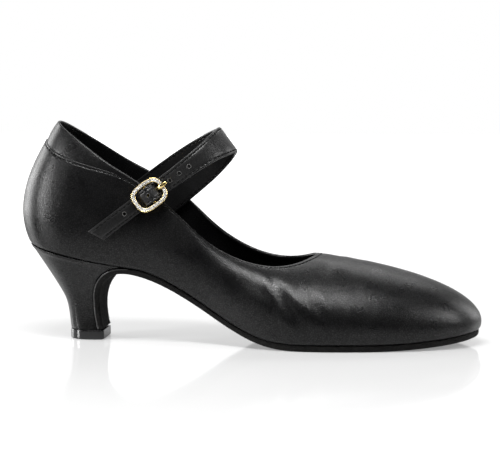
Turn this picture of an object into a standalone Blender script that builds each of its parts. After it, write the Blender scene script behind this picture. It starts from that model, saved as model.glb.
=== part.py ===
"""Latin dance shoe for the right foot: closed toe, buckled instep strap, flared covered heel.

Sizes are in millimetres until a mesh is made. Here x runs from the heel to the toe, y to the
medial side and z up from the floor, with x = 0 at the back of the heel seat.
"""

import math
from collections import namedtuple

import bmesh
import bpy
import numpy as np

MM = 0.001
GAP = 0.3
FINE = 0.01
WALL_STEPS = 16
MOST_U = 0.3
MOST_V = 0.1
GUESS_U = np.linspace(2, 9, 57)
GUESS_V = np.linspace(0.05, 1.0, 40)

# Swell of the wall: these bring a low and a higher bulge to 1 at their fullest
LOW_SWELL = 6.75
HIGH_SWELL = 4.93
HIGH_LEAN = 0.4

# Upper
WALL = 1.8
RIM_RISE = 0.6
COLLAR_STEP = 0.5
COLLAR_FADE = 5.0
TOPLINE_STITCH = 1.5
RAYS_PER_STATION = 3
WALL_COLUMNS = 9
COLLAR_COLUMNS = (0.12, 0.5, 1.0)
LINING_COLUMNS = 8

# Insole, outsole and heel
INSOLE_THICK = 2.0
SOLE_THICK = 3.3
SOLE_INSET = 0.4
SOLE_EDGE = 0.8
SOLE_EDGE_FROM = 0.6
SHANK_FROM = 63.0
SHANK_STEP = 6.0
FLAP_STEPS = 2
HEEL_STEPS = 2
RING_SIDE = 9
CORNER = 0.9
LIFT_HEIGHT = 5.0
LIFT_CHAMFER = 0.4
LIFT_BACK = 21.2
LIFT_FRONT = 40.7
LIFT_WIDEST = 10.8
LIFT_BREAST = 10.2
LIFT_WIDEST_AT = 0.55

# Strap and buckle
STRAP_THICK = 1.8
STRAP_ORIGIN = np.array([41.0, 0.0, 57.0])
STRAP_ALONG = np.array([0.8, 0.0, 0.6])
STRAP_ACROSS = np.array([-0.6, 0.0, 0.8])
STRAP_CREST = 80.0
STRAP_LEAVES = 46.0
STRAP_BASE = 24.0
STRAP_ROUND = 2.3
TAIL_STATIONS = np.linspace(0, 20, 9)
WINDOW_STATIONS = np.linspace(22, STRAP_LEAVES, 25)
BASE_STATIONS = 8
ARCH_STATIONS = 12
LATERAL = -1
MEDIAL = 1
TOPLINE_RUN = {LATERAL: 34.0, MEDIAL: 36.6}
TOPLINE_SKEW = {LATERAL: 0.3, MEDIAL: 0.42}
SLOPE_OVER = 3.0
TAIL_SLANT = 0.5
TAIL_CUT = 9.0
ACROSS_STEPS = np.linspace(-1.0, 1.0, 5)
HOLES_ALONG = (18.5, 34.5, 47.0, 53.0, 59.0)
HOLE_RADIUS = 0.9
HOLE_REACH = 2 * STRAP_THICK
BUCKLE_AT = 34.0
FRAME_ALONG = 7.9
FRAME_ACROSS = 6.15
FRAME_BAND = 2.2
FRAME_LOW = 3.0
FRAME_HIGH = 5.0
FRAME_CHAMFER = 0.5
FRAME_POWER = 3.2
FRAME_POINTS = 48
BAR_RADIUS = 0.8
TAB_THICK = 0.8
TAB_HALF = 3.9
SLOT_HALF = 1.7
SLOT_LONG = 3.2
SLOT_RUN = (0.2, 6.0)
SLOT_SIDES = 10
PRONG_RADIUS = 0.5
PRONG_CLEAR = 0.4
PRONG_SIDES = 8
ROD_SIDES = 12
PATH_STEPS = 2

# Feather line: its height above the floor along the shoe
GROUND_X = (
    -4, 0, 13, 26, 40, 55, 63, 72, 82, 92,
    102, 112, 122, 132, 142, 180, 195, 210, 225, 238,
)
GROUND_Z = (
    52, 51, 47.8, 44.9, 42.2, 39.8, 38.2, 34.8, 29.6, 23.6,
    17.2, 11.4, 6.9, 4.3, 3.6, 3.6, 3.9, 4.8, 6.3, 8.2,
)

# One row per section of the last, from the back of the heel to the tip of the toe: a ray of the
# wall runs from the feather line up to the top line, on the lateral and on the medial side
Station = namedtuple(
    "Station",
    "feather_x feather_lat feather_med top_x top_lat top_med top_z medial_rise wrap "
    "bulge_lat bulge_med bulge_high collar",
)
STATIONS = (
    Station(0, 0, 0, 15, 0, 0, 114.7, 0, 50, 5, 5, 0, 10),
    Station(6, 15, 15, 17.5, 9.5, 9.5, 113, 0, 50, 4.8, 4.8, 0, 11),
    Station(15, 22, 22, 24, 16, 16, 108.6, 0, 50, 4.4, 4.4, 0.1, 10.8),
    Station(28, 25, 25, 35, 21.5, 21.3, 101, 0.3, 48, 4, 4, 0.2, 7.6),
    Station(45, 24.5, 23.5, 47, 24.2, 24, 92.7, 0.8, 45, 3.8, 4.4, 0.4, 3.3),
    Station(60, 23.2, 21.2, 58.5, 24.6, 24.2, 85.8, 1.6, 42, 3.8, 5.2, 0.5, 1.7),
    Station(77, 22.7, 19.5, 70.5, 24.4, 24, 77.4, 3, 40, 4.2, 6, 0.5, 1.5),
    Station(95, 24, 20, 83, 24, 23.6, 67.2, 3.6, 40, 4, 6, 0.5, 1.5),
    Station(114, 29.2, 26.6, 97, 23.6, 23.4, 54.4, 3.6, 45, 3.4, 5, 0.5, 1.5),
    Station(133, 35.6, 35.4, 112, 23, 23, 45.8, 2.6, 54, 3, 3.4, 0.5, 1.5),
    Station(150, 39, 38.6, 125, 22.2, 22.6, 42, 1.6, 62, 3, 3, 0.3, 1.5),
    Station(167, 38.3, 39.5, 136, 20.2, 20.8, 41.4, 1, 66, 3, 3, 0.2, 1.5),
    Station(184, 35.8, 37.5, 144.5, 15.4, 16.2, 43, 0.6, 68, 3, 3, 0, 1.5),
    Station(202, 31, 33.2, 149.6, 9.8, 10.8, 44.9, 0.3, 70, 3, 3, 0, 1.5),
    Station(219, 23.6, 25.6, 151.8, 4.8, 6, 45.8, 0, 70, 3, 3, 0, 1.5),
    Station(231, 13.9, 15.7, 152.5, 1.9, 3, 46.1, 0, 70, 3, 3, 0, 1.5),
    Station(237, -0.9, 0.9, 152.7, -0.55, 0.55, 46.2, 0, 70, 3, 3, 0, 1.5),
)

# Flap of the outsole, from its end above the tip up the heel breast to the shank
Flap = namedtuple("Flap", "top_x top_z under_x under_z lat med")
FLAP = (
    Flap(37.9, 5.3, 40.6, 5.3, 10, 10),
    Flap(36.9, 10, 39.7, 10, 10, 10),
    Flap(36.2, 15.5, 39, 15.5, 10.5, 10.5),
    Flap(36.1, 20.5, 38.9, 20.5, 11.6, 11.6),
    Flap(36.6, 25.8, 39.5, 25.2, 13.8, 13.8),
    Flap(38.6, 30.8, 41.2, 29.6, 16.6, 16.6),
    Flap(42.4, 35.2, 44.6, 33.4, 19.4, 19.2),
    Flap(48.4, 38.2, 49.6, 35.9, 21.4, 20.8),
    Flap(56, 38.85, 56.3, 36.1, 22.7, 21.3),
)

# Heel block, from its foot to its seat: back edge, row of FLAP that its breast lies on, half-widths
Level = namedtuple("Level", "back_x back_z breast widest front_half widest_at")
LEVELS = (
    Level(21.5, 5.3, 0, 10.6, 9.9, 0.55),
    Level(20.7, 12, 1.4, 10.4, 9.9, 0.55),
    Level(19.3, 20, 2.9, 11.8, 11.3, 0.55),
    Level(16.4, 26, 4, 14.2, 13.6, 0.55),
    Level(12.6, 32.4, 5, 17.6, 16.6, 0.54),
    Level(8.4, 38.8, 6, 20.8, 19.3, 0.53),
    Level(4.3, 44.8, 7, 23.4, 21.4, 0.52),
    Level(0.3, 50.6, 7.6, 25.1, 23.4, 0.52),
)

# Strap: half-width along each side, and how far its inner face stands off the lateral quarter
WIDTH_LAT = ((0, 4.2), (20, 4.2), (34, 4.3), (57, 4.8), (68, 5.6), (75, 6.7), (80, 8))
WIDTH_MED = ((24, 13), (38, 12.9), (57, 12), (73, 9.8), (80, 8))
STAND_OFF = (
    (0, 0.3), (14, 0.3), (24, 0.4), (28, 0.7), (31, 3.1), (34, 4.5), (37, 3.1), (40, 0.6), (46, 0.5),
)

# Paths in the buckle's own plane: along the strap from the centre bar, and out from the quarter
TAB_PATH = (
    (-12, -2.9), (-7, -2.75), (-2, -2.7), (0.9, -2.7), (2.5, -2.5), (3.15, -1.75), (3.3, -0.7), (3.1, 0.4),
    (2.6, 1.4), (1.9, 2.4), (1.05, 3.4), (0, 3.75), (-0.95, 3.4), (-1.5, 2.5), (-1.8, 1.6), (-2.6, 0.95),
    (-4.3, 0.8),
)
PRONG_PATH = (
    (0.9, 0.95), (0, 0.75), (-1, 1.05), (-1.55, 2.1), (-1.3, 3.15), (-0.4, 3.8), (0.6, 3.75), (1.8, 3.2),
    (3, 2.75), (4, 3), (4.9, 3.75), (6, 4.85), (7.2, 5.65), (8.4, 5.85), (9.8, 5.8), (10.9, 5.65),
)
BAR_PATH = (
    (-6.05, 4.05), (-5.75, 2.9), (-5.2, 2.4), (-4.6, 2.3),
    (4.6, 2.3), (5.2, 2.4), (5.75, 2.9), (6.05, 4.05),
)


def closed_spline(values):
    """A smooth closed curve through the values, as a function of the row number."""
    values = np.array(values, float)
    count = len(values)
    row = np.arange(count)
    matrix = np.zeros((count, count))
    matrix[row, row] = 4
    matrix[row, (row + 1) % count] = 1
    matrix[row, (row - 1) % count] = 1
    bend = np.linalg.solve(matrix, 6 * (np.roll(values, -1) - 2 * values + np.roll(values, 1)))

    def at(where):
        low = np.floor(where)
        one = low.astype(int) % count
        two = (one + 1) % count
        t = where - low
        s = 1 - t
        straight = s * values[one] + t * values[two]
        return straight + ((s**3 - s) * bend[one] + (t**3 - t) * bend[two]) / 6

    return at


def open_spline(values):
    """A smooth open curve through the values, as a function of the row number."""
    values = np.array(values, float)
    count = len(values)
    matrix = np.eye(count)
    load = np.zeros(count)
    for row in range(1, count - 1):
        matrix[row, row - 1 : row + 2] = (1, 4, 1)
        load[row] = 6 * (values[row + 1] - 2 * values[row] + values[row - 1])
    bend = np.linalg.solve(matrix, load)

    def at(where):
        one = np.clip(np.floor(where).astype(int), 0, count - 2)
        t = where - one
        s = 1 - t
        straight = s * values[one] + t * values[one + 1]
        return straight + ((s**3 - s) * bend[one] + (t**3 - t) * bend[one + 1]) / 6

    return at


def even_curve(xs, ys):
    """A curve through the points that never swings past them, so a level run stays level."""
    xs = np.array(xs, float)
    ys = np.array(ys, float)
    step = np.diff(xs)
    rise = np.diff(ys) / step
    slope = np.zeros(len(xs))
    slope[0] = rise[0]
    slope[-1] = rise[-1]
    for row in range(1, len(xs) - 1):
        if rise[row - 1] * rise[row] > 0:
            before = 2 * step[row] + step[row - 1]
            after = step[row] + 2 * step[row - 1]
            slope[row] = (before + after) / (before / rise[row - 1] + after / rise[row])

    def at(x):
        x = np.asarray(x, float)
        k = np.clip(np.searchsorted(xs, x, side="right") - 1, 0, len(step) - 1)
        t = np.clip((x - xs[k]) / step[k], 0, 1)
        low = (1 + 2 * t) * (1 - t) ** 2 * ys[k] + t * (1 - t) ** 2 * step[k] * slope[k]
        return low + t**2 * (3 - 2 * t) * ys[k + 1] + t**2 * (t - 1) * step[k] * slope[k + 1]

    return at


def unit(vectors):
    return vectors / np.linalg.norm(vectors, axis=-1, keepdims=True)


def ring_of(lateral, medial):
    """Values of the stations once round the shoe: heel, lateral side, toe, medial side."""
    return closed_spline(list(lateral) + list(medial[-2:0:-1]))


def columns(name):
    return [getattr(station, name) for station in STATIONS]


ROUND = 2 * len(STATIONS) - 2
TIP = len(STATIONS) - 1
ground = even_curve(GROUND_X, GROUND_Z)
feather_x = ring_of(columns("feather_x"), columns("feather_x"))
feather_y = ring_of([-y for y in columns("feather_lat")], columns("feather_med"))
top_x = ring_of(columns("top_x"), columns("top_x"))
top_y = ring_of([-y for y in columns("top_lat")], columns("top_med"))
top_z = ring_of(columns("top_z"), [s.top_z + s.medial_rise for s in STATIONS])
wrap_angle = ring_of(columns("wrap"), columns("wrap"))
bulge = ring_of(columns("bulge_lat"), columns("bulge_med"))
bulge_high = ring_of(columns("bulge_high"), columns("bulge_high"))
collar_depth = ring_of(columns("collar"), columns("collar"))
stand_off = even_curve(*zip(*STAND_OFF))
width_lat = even_curve(*zip(*WIDTH_LAT))
width_med = even_curve(*zip(*WIDTH_MED))


def feather_out(u):
    """Outward direction of the feather line in plan."""
    along_x = feather_x(u + FINE) - feather_x(u - FINE)
    along_y = feather_y(u + FINE) - feather_y(u - FINE)
    return unit(np.stack([along_y, -along_x], -1))


def ray(u, v):
    """Outer face of the wall: u once round the shoe, v from the feather line up to the top line."""
    out = feather_out(u)
    foot_x = feather_x(u)
    foot_y = feather_y(u)
    foot_z = ground(foot_x)
    most = np.radians(wrap_angle(u))
    angle = v * most
    inward = (1 - np.cos(angle)) / (1 - np.cos(most))
    upward = np.sin(angle) / np.sin(most)
    low = LOW_SWELL * v * (1 - v) ** 2
    high = HIGH_SWELL * v * (1 - v) * (1 - HIGH_LEAN * v)
    swell = bulge(u) * (low + (high - low) * bulge_high(u))
    x = foot_x + (top_x(u) - foot_x) * inward + out[..., 0] * swell
    y = foot_y + (top_y(u) - foot_y) * inward + out[..., 1] * swell
    z = foot_z + (top_z(u) - foot_z) * upward
    return np.stack([x, y, z], -1)


def wall_point(u, v):
    """As ray(), and running straight on above the top line."""
    u = np.asarray(u, float) + np.zeros_like(np.asarray(v, float))
    v = np.asarray(v, float) + np.zeros_like(u)
    below = np.minimum(v, 1)
    rise = (ray(u, below) - ray(u, below - FINE)) / FINE
    return ray(u, below) + rise * (v - below)[..., None]


def wall_normal(u, v):
    around = wall_point(u + FINE, v) - wall_point(u - FINE, v)
    upward = wall_point(u, v + FINE) - wall_point(u, v - FINE)
    return unit(np.cross(around, upward))


def wall_beside(x, z, side):
    """Where the wall of one side passes a point of the side view: its y, and its normal there."""
    grid_u, grid_v = np.meshgrid(GUESS_U, GUESS_V, indexing="ij")
    if side > 0:
        grid_u = ROUND - grid_u
    guess = wall_point(grid_u, grid_v).reshape(-1, 3)
    shape = np.shape(x)
    aim = np.stack([np.ravel(x), np.ravel(z)], -1)
    nearest = [np.argmin((guess[:, 0] - a) ** 2 + (guess[:, 2] - b) ** 2) for a, b in aim]
    u = grid_u.ravel()[nearest]
    v = grid_v.ravel()[nearest]
    for _ in range(WALL_STEPS):
        here = wall_point(u, v)
        by_u = (wall_point(u + FINE, v) - here) / FINE
        by_v = (wall_point(u, v + FINE) - here) / FINE
        miss_x = aim[:, 0] - here[:, 0]
        miss_z = aim[:, 1] - here[:, 2]
        size = by_u[:, 0] * by_v[:, 2] - by_v[:, 0] * by_u[:, 2]
        u = u + np.clip((miss_x * by_v[:, 2] - miss_z * by_v[:, 0]) / size, -MOST_U, MOST_U)
        v = v + np.clip((miss_z * by_u[:, 0] - miss_x * by_u[:, 2]) / size, -MOST_V, MOST_V)
    return wall_point(u, v)[:, 1].reshape(shape), wall_normal(u, v).reshape(shape + (3,))


def material_of(name, colour, rough, metal=0.0):
    material = bpy.data.materials.new(name)
    material.use_nodes = True
    shader = material.node_tree.nodes["Principled BSDF"]
    shader.inputs["Base Color"].default_value = (*colour, 1)
    shader.inputs["Roughness"].default_value = rough
    shader.inputs["Metallic"].default_value = metal
    return material


def loft(name, loops, material=None, closed=False, edged=0):
    """One solid through a row of closed loops. In a loop, point i faces -i, or -1 - i if it is edged."""
    loops = np.asarray(loops, float)
    rows, count = loops.shape[:2]
    mesh = bmesh.new()
    verts = [[mesh.verts.new(point * MM) for point in loop] for loop in loops]
    for row in range(rows if closed else rows - 1):
        here = verts[row]
        there = verts[(row + 1) % rows]
        for i in range(count):
            k = (i + 1) % count
            mesh.faces.new((here[i], here[k], there[k], there[i]))
    if not closed:
        for end in (verts[0], verts[-1]):
            for i in range(count // 2 - edged):
                corners = (end[i], end[i + 1], end[count - i - 1 - edged], end[-i - edged])
                mesh.faces.new(list(dict.fromkeys(corners)))
    bmesh.ops.recalc_face_normals(mesh, faces=mesh.faces)
    data = bpy.data.meshes.new(name)
    mesh.to_mesh(data)
    mesh.free()
    made = bpy.data.objects.new(name, data)
    bpy.context.scene.collection.objects.link(made)
    if material:
        data.materials.append(material)
    return made


def helper(made):
    """Marks an object that only cuts or joins another."""
    made.hide_render = True
    made.display_type = "WIRE"
    return made


def combine(target, other, operation):
    step = target.modifiers.new(other.name, "BOOLEAN")
    step.operation = operation
    step.solver = "EXACT"
    step.object = helper(other)


def sweep(path, side, section, closed=False):
    """Loops of a section carried along a flat path. side is square to the path's plane."""
    path = np.asarray(path, float)
    if closed:
        along = unit(np.roll(path, -1, 0) - np.roll(path, 1, 0))
    else:
        along = unit(np.gradient(path, axis=0))
    over = np.cross(side, along)
    return [p + np.array([a * o + b * side for a, b in section]) for p, o in zip(path, over)]


def circle(radius, sides):
    turn = np.arange(sides) * 2 * math.pi / sides
    return np.stack([radius * np.cos(turn), radius * np.sin(turn)], -1)


def smooth_path(points, steps):
    where = np.linspace(0, len(points) - 1, (len(points) - 1) * steps + 1)
    return np.stack([open_spline(axis)(where) for axis in np.transpose(points)], -1)


def make_upper(material):
    u = np.arange(ROUND * RAYS_PER_STATION) / RAYS_PER_STATION
    ray_length = np.linalg.norm(wall_point(u, 1.0) - wall_point(u, 1.0 - FINE), axis=-1) / FINE
    seam = 1 - collar_depth(u) / ray_length
    step = COLLAR_STEP * np.clip((collar_depth(u) - TOPLINE_STITCH) / COLLAR_FADE, 0, 1)
    loops = []
    for column in range(WALL_COLUMNS + 1):
        loops.append(wall_point(u, seam * column / WALL_COLUMNS))
    for part in COLLAR_COLUMNS:
        v = seam + (1 - seam) * part
        loops.append(wall_point(u, v) - step[:, None] * wall_normal(u, v))
    brim = wall_normal(u, 1.0)
    upward = unit(wall_point(u, 1.0) - wall_point(u, 1.0 - FINE))
    middle = (WALL + step) / 2
    loops.append(wall_point(u, 1.0) - middle[:, None] * brim + RIM_RISE * upward)
    for column in range(LINING_COLUMNS, 0, -1):
        v = np.full(len(u), column / LINING_COLUMNS)
        loops.append(wall_point(u, v) - WALL * wall_normal(u, v))
    foot = wall_point(u, 0.0)
    foot[:, :2] -= WALL * feather_out(u)
    foot[:, 2] = ground(foot[:, 0])
    loops.append(foot)
    return loft("upper", loops, material, closed=True)


def make_insole(material):
    u = np.arange(ROUND * RAYS_PER_STATION) / RAYS_PER_STATION
    under = wall_point(u, 0.0)
    under[:, :2] -= (WALL + GAP) * feather_out(u)
    under[:, 2] = ground(under[:, 0])
    over = under + np.array([0, 0, INSOLE_THICK])
    return loft("insole", [under, over], material)


def flap_curves():
    """Upper and under side of the outsole along the flap, carried on into the shank."""
    top = [(f.top_x, f.top_z) for f in FLAP]
    under = [(f.under_x, f.under_z) for f in FLAP]
    for x in (SHANK_FROM, SHANK_FROM + SHANK_STEP):
        z = ground(x) - GAP
        top.append((x, z))
        under.append((x, z - SOLE_THICK))
    return [[open_spline(axis) for axis in zip(*rows)] for rows in (top, under)]


def make_outsole(material):
    top, under = flap_curves()
    flap_at = np.arange(len(FLAP) * FLAP_STEPS) / FLAP_STEPS
    lat = open_spline([f.lat for f in FLAP] + [-feather_y(u_at(SHANK_FROM)) - SOLE_INSET])(flap_at)
    med = open_spline([f.med for f in FLAP] + [feather_y(ROUND - u_at(SHANK_FROM)) - SOLE_INSET])(flap_at)
    first = math.ceil(u_at(SHANK_FROM) * RAYS_PER_STATION)
    front = np.arange(first, TIP * RAYS_PER_STATION + 1) / RAYS_PER_STATION

    def side(curve, half, sign):
        return np.stack([curve[0](flap_at), sign * half, curve[1](flap_at)], -1)

    def forepart(u, drop):
        edge = wall_point(u, 0.0)
        edge[:, :2] -= SOLE_INSET * feather_out(u)
        edge[:, 2] = ground(edge[:, 0]) - GAP - drop
        return edge

    def outline(curve, drop):
        lateral = np.concatenate([side(curve, lat, -1), forepart(front, drop)])
        medial = np.concatenate([side(curve, med, 1), forepart(ROUND - front[:-1], drop)])
        return np.concatenate([lateral[::-1], medial])

    over = outline(top, 0)
    below = outline(under, SOLE_THICK)
    depth = unit(below - over)
    around = unit(np.roll(below, -1, 0) - np.roll(below, 1, 0))
    inward = unit(np.cross(around, depth))
    inward *= np.sign(np.sum(inward * (below.mean(0) - below), -1).sum())
    edge = over + SOLE_EDGE_FROM * (below - over)
    return loft("outsole", [over, edge, below + SOLE_EDGE * inward], material)


def u_at(x):
    """Row number on the lateral side where the feather line passes x."""
    fine = np.arange(0, TIP, FINE)
    return float(np.interp(x, feather_x(fine), fine))


def heel_ring(back, front, widest, front_half, widest_at):
    """A heel section: rounded at the back, straight across the breast. back and front are (x, z)."""
    half = []
    for i in range(RING_SIDE + 1):
        part = 1 - math.cos(math.pi / 2 * i / RING_SIDE)
        if part < widest_at:
            y = widest * math.sqrt(1 - (1 - part / widest_at) ** 2)
        else:
            y = widest + (front_half - widest) * ((part - widest_at) / (1 - widest_at)) ** 2
        half.append((part * (1 - CORNER / (front[0] - back[0])), y))
    half.append((1, front_half - CORNER))
    back = np.array(back)
    front = np.array(front)
    lateral = [(*(back + (front - back) * part), -y) for part, y in half]
    medial = [(*(back + (front - back) * part), y) for part, y in half[:0:-1]]
    return np.array(lateral + medial)[:, [0, 2, 1]]


def make_heel(material):
    top, _ = flap_curves()
    rows = np.arange((len(LEVELS) - 1) * HEEL_STEPS + 1) / HEEL_STEPS
    level = [open_spline(axis)(rows) for axis in zip(*LEVELS)]
    loops = []
    for back_x, back_z, breast, widest, front_half, widest_at in zip(*level):
        here = np.array([top[0](breast), top[1](breast)])
        along = np.array([top[0](breast + FINE), top[1](breast + FINE)]) - here
        clear = GAP * np.array([-along[1], along[0]]) / np.hypot(*along)
        loops.append(heel_ring((back_x, back_z), here + clear, widest, front_half, widest_at))
    seat = loops[-1]
    seat[:, 2] = ground(seat[:, 0]) - GAP
    loops[0][:, 2] = LIFT_HEIGHT + GAP
    return loft("heel", loops, material)


def make_top_lift(material):
    loops = []
    for height, inset in ((0, LIFT_CHAMFER), (LIFT_CHAMFER, 0), (LIFT_HEIGHT, 0)):
        back = (LIFT_BACK + inset, height)
        front = (LIFT_FRONT - inset, height)
        loops.append(heel_ring(back, front, LIFT_WIDEST - inset, LIFT_BREAST - inset, LIFT_WIDEST_AT))
    return loft("top_lift", loops, material)


def quarter_under(run, across, side):
    """The quarter's outer face under points of the strap, carried straight on above the top line."""
    limit = TOPLINE_RUN[side] - TOPLINE_SKEW[side] * across
    low = np.minimum(run, limit)

    def face(at):
        points = STRAP_ORIGIN + at[..., None] * STRAP_ALONG + across[..., None] * STRAP_ACROSS
        return wall_beside(points[..., 0], points[..., 2], side)

    y, normal = face(low)
    slope = (y - face(low - SLOPE_OVER)[0]) / SLOPE_OVER
    return y + (run - low) * slope, normal


def strap_middle():
    """Middle layer of the strap: stations from the tail to the sewn base, five points across."""
    tail = np.concatenate([TAIL_STATIONS, WINDOW_STATIONS])
    base = np.linspace(STRAP_LEAVES, STRAP_BASE, BASE_STATIONS)
    arch = np.linspace(0, math.pi / 2, ARCH_STATIONS + 1)[1:]
    climb = STRAP_LEAVES + (STRAP_CREST - STRAP_LEAVES) * np.sin(arch) ** (2 / STRAP_ROUND)
    along = np.concatenate([tail, climb, climb[-2::-1], base])
    lateral = np.arange(len(along)) < len(tail) + len(climb)
    half = np.where(lateral, width_lat(along), width_med(along))
    across = half[:, None] * ACROSS_STEPS
    slant = np.clip(1 - along / TAIL_CUT, 0, 1) * (np.arange(len(along)) < len(tail))
    run = along[:, None] - TAIL_SLANT * across * slant[:, None]
    points = STRAP_ORIGIN + run[..., None] * STRAP_ALONG + across[..., None] * STRAP_ACROSS
    count = len(tail)
    points[:count, :, 1], normal = quarter_under(run[:count], across[:count], LATERAL)
    lift = stand_off(along[:count]) + STRAP_THICK / 2
    points[:count] += lift[:, None, None] * normal
    points[-len(base) :, :, 1], normal = quarter_under(run[-len(base) :], across[-len(base) :], MEDIAL)
    points[-len(base) :] -= (WALL + GAP + STRAP_THICK / 2) * normal
    fall = np.cos(arch) ** (2 / STRAP_ROUND)
    points[count : count + len(arch), :, 1] = fall[:, None] * points[count - 1, :, 1]
    points[count + len(arch) : -len(base), :, 1] = fall[-2::-1, None] * points[-len(base), :, 1]
    return points


def strap_normals(points):
    along = np.gradient(points, axis=0)
    across = np.gradient(points, axis=1)
    return unit(np.cross(across, along))


def make_strap(material, prong_path, side):
    middle = strap_middle()
    out = strap_normals(middle) * STRAP_THICK / 2
    loops = np.concatenate([middle + out, (middle - out)[:, ::-1]], axis=1)
    strap = loft("strap", loops, material, edged=1)
    centre = middle[:, 2]
    along = (centre - STRAP_ORIGIN) @ STRAP_ALONG
    crest = int(np.argmax(along))
    for number, hole in enumerate(HOLES_ALONG):
        k = int(np.argmin(np.abs(along[:crest] - hole)))
        spot = np.array([np.interp(hole, along[:crest], centre[:crest, axis]) for axis in range(3)])
        way = unit(out[k, 2])
        path = [spot - HOLE_REACH * way, spot + HOLE_REACH * way]
        across = unit(np.cross(way, STRAP_ALONG))
        cutter = loft(f"hole_{number}", sweep(path, across, circle(HOLE_RADIUS, ROD_SIDES)))
        combine(strap, cutter, "DIFFERENCE")
    slot = loft("prong_hole", sweep(prong_path, side, circle(PRONG_RADIUS + PRONG_CLEAR, SLOT_SIDES)))
    combine(strap, slot, "DIFFERENCE")
    return strap


def buckle_axes():
    """Foot of the buckle on the quarter, and its directions along the strap, across it and outwards."""
    at = STRAP_ORIGIN + BUCKLE_AT * STRAP_ALONG
    y, normal = wall_beside(at[:1], at[2:], LATERAL)
    out = normal[0]
    along = unit(STRAP_ALONG - out * (STRAP_ALONG @ out))
    return np.array([at[0], y[0], at[2]]), along, np.cross(out, along), out


def make_buckle(gold, leather):
    foot, along, across, out = buckle_axes()

    def in_plane(points, first, second):
        return np.array([foot + a * first + b * second for a, b in points])

    turn = (np.arange(FRAME_POINTS) + 0.5) * 2 * math.pi / FRAME_POINTS
    ring_x = FRAME_ALONG * np.sign(np.cos(turn)) * np.abs(np.cos(turn)) ** (2 / FRAME_POWER)
    ring_y = FRAME_ACROSS * np.sign(np.sin(turn)) * np.abs(np.sin(turn)) ** (2 / FRAME_POWER)
    ring = in_plane(np.stack([ring_x, ring_y], -1), along, across) + (FRAME_LOW + FRAME_HIGH) / 2 * out
    wide = FRAME_BAND / 2
    high = (FRAME_HIGH - FRAME_LOW) / 2
    corner = FRAME_CHAMFER
    section = [
        (wide, -high + corner), (wide, high - corner), (wide - corner, high), (corner - wide, high),
        (-wide, high - corner), (-wide, corner - high), (corner - wide, -high), (wide - corner, -high),
    ]
    frame = loft("buckle_frame", sweep(ring, out, section, closed=True), gold, closed=True)
    bar_path = in_plane(smooth_path(BAR_PATH, PATH_STEPS), across, out)
    combine(frame, loft("bar", sweep(bar_path, along, circle(BAR_RADIUS, ROD_SIDES))), "UNION")

    prong_path = in_plane(smooth_path(PRONG_PATH, PATH_STEPS), along, out)
    loft("buckle_prong", sweep(prong_path, across, circle(PRONG_RADIUS, PRONG_SIDES)), gold)

    thick = TAB_THICK / 2
    strip = [(thick, TAB_HALF), (thick, -TAB_HALF), (-thick, -TAB_HALF), (-thick, TAB_HALF)]
    tab_path = in_plane(smooth_path(TAB_PATH, PATH_STEPS), along, out)
    tab = loft("buckle_tab", sweep(tab_path, across, strip), leather, edged=1)
    slot_path = in_plane([(0, height) for height in SLOT_RUN], along, out)
    slot = [
        (SLOT_LONG, SLOT_HALF), (-SLOT_LONG, SLOT_HALF),
        (-SLOT_LONG, -SLOT_HALF), (SLOT_LONG, -SLOT_HALF),
    ]
    combine(tab, loft("tab_slot", sweep(slot_path, across, slot)), "DIFFERENCE")
    return prong_path, across


def main():
    for old in list(bpy.data.objects):
        bpy.data.objects.remove(old, do_unlink=True)
    leather = material_of("black_leather", (0.02, 0.02, 0.021), 0.42)
    lining = material_of("black_lining", (0.028, 0.027, 0.027), 0.7)
    suede = material_of("black_suede", (0.03, 0.028, 0.026), 0.95)
    cover = material_of("heel_cover", (0.02, 0.02, 0.021), 0.4)
    plastic = material_of("black_plastic", (0.012, 0.012, 0.013), 0.18)
    strap_leather = material_of("strap_leather", (0.022, 0.022, 0.023), 0.5)
    gold = material_of("gold_plate", (0.83, 0.63, 0.27), 0.22, 1.0)
    make_upper(leather)
    make_insole(lining)
    make_outsole(suede)
    make_heel(cover)
    make_top_lift(plastic)
    prong_path, across = make_buckle(gold, strap_leather)
    make_strap(strap_leather, prong_path, across)
    centre_on_floor()


def centre_on_floor():
    """Puts the origin on the floor under the middle of the shoe's box."""
    solids = [made for made in bpy.data.objects if not made.hide_render]
    points = np.array([vertex.co for made in solids for vertex in made.data.vertices])
    middle = (points.min(0) + points.max(0)) / 2
    for made in bpy.data.objects:
        made.location = (-middle[0], -middle[1], 0)


main()
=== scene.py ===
# %% [markdown]
# # A black latin dance shoe
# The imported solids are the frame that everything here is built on. They stay where they are:
# each piece below is made in the same place and then stands for the solid that it dresses.

# %% The frame
import math
from collections import namedtuple

import bmesh
import bpy
import numpy as np
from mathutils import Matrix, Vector


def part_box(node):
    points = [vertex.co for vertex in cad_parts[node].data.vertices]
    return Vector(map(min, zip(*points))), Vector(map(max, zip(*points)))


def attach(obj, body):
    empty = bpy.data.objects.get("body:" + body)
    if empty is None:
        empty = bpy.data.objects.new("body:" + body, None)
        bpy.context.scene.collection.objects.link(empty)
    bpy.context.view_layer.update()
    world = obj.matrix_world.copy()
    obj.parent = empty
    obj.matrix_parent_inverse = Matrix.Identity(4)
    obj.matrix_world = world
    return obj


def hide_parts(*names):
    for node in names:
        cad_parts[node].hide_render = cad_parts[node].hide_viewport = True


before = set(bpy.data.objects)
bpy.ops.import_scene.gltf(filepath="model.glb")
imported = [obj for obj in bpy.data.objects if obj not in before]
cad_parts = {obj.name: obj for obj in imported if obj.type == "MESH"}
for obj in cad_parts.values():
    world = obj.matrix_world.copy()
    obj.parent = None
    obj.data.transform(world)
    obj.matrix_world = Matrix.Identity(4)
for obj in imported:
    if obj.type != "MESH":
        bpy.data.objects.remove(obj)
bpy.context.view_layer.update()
print("nodes:", ", ".join(sorted(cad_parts)))

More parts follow.
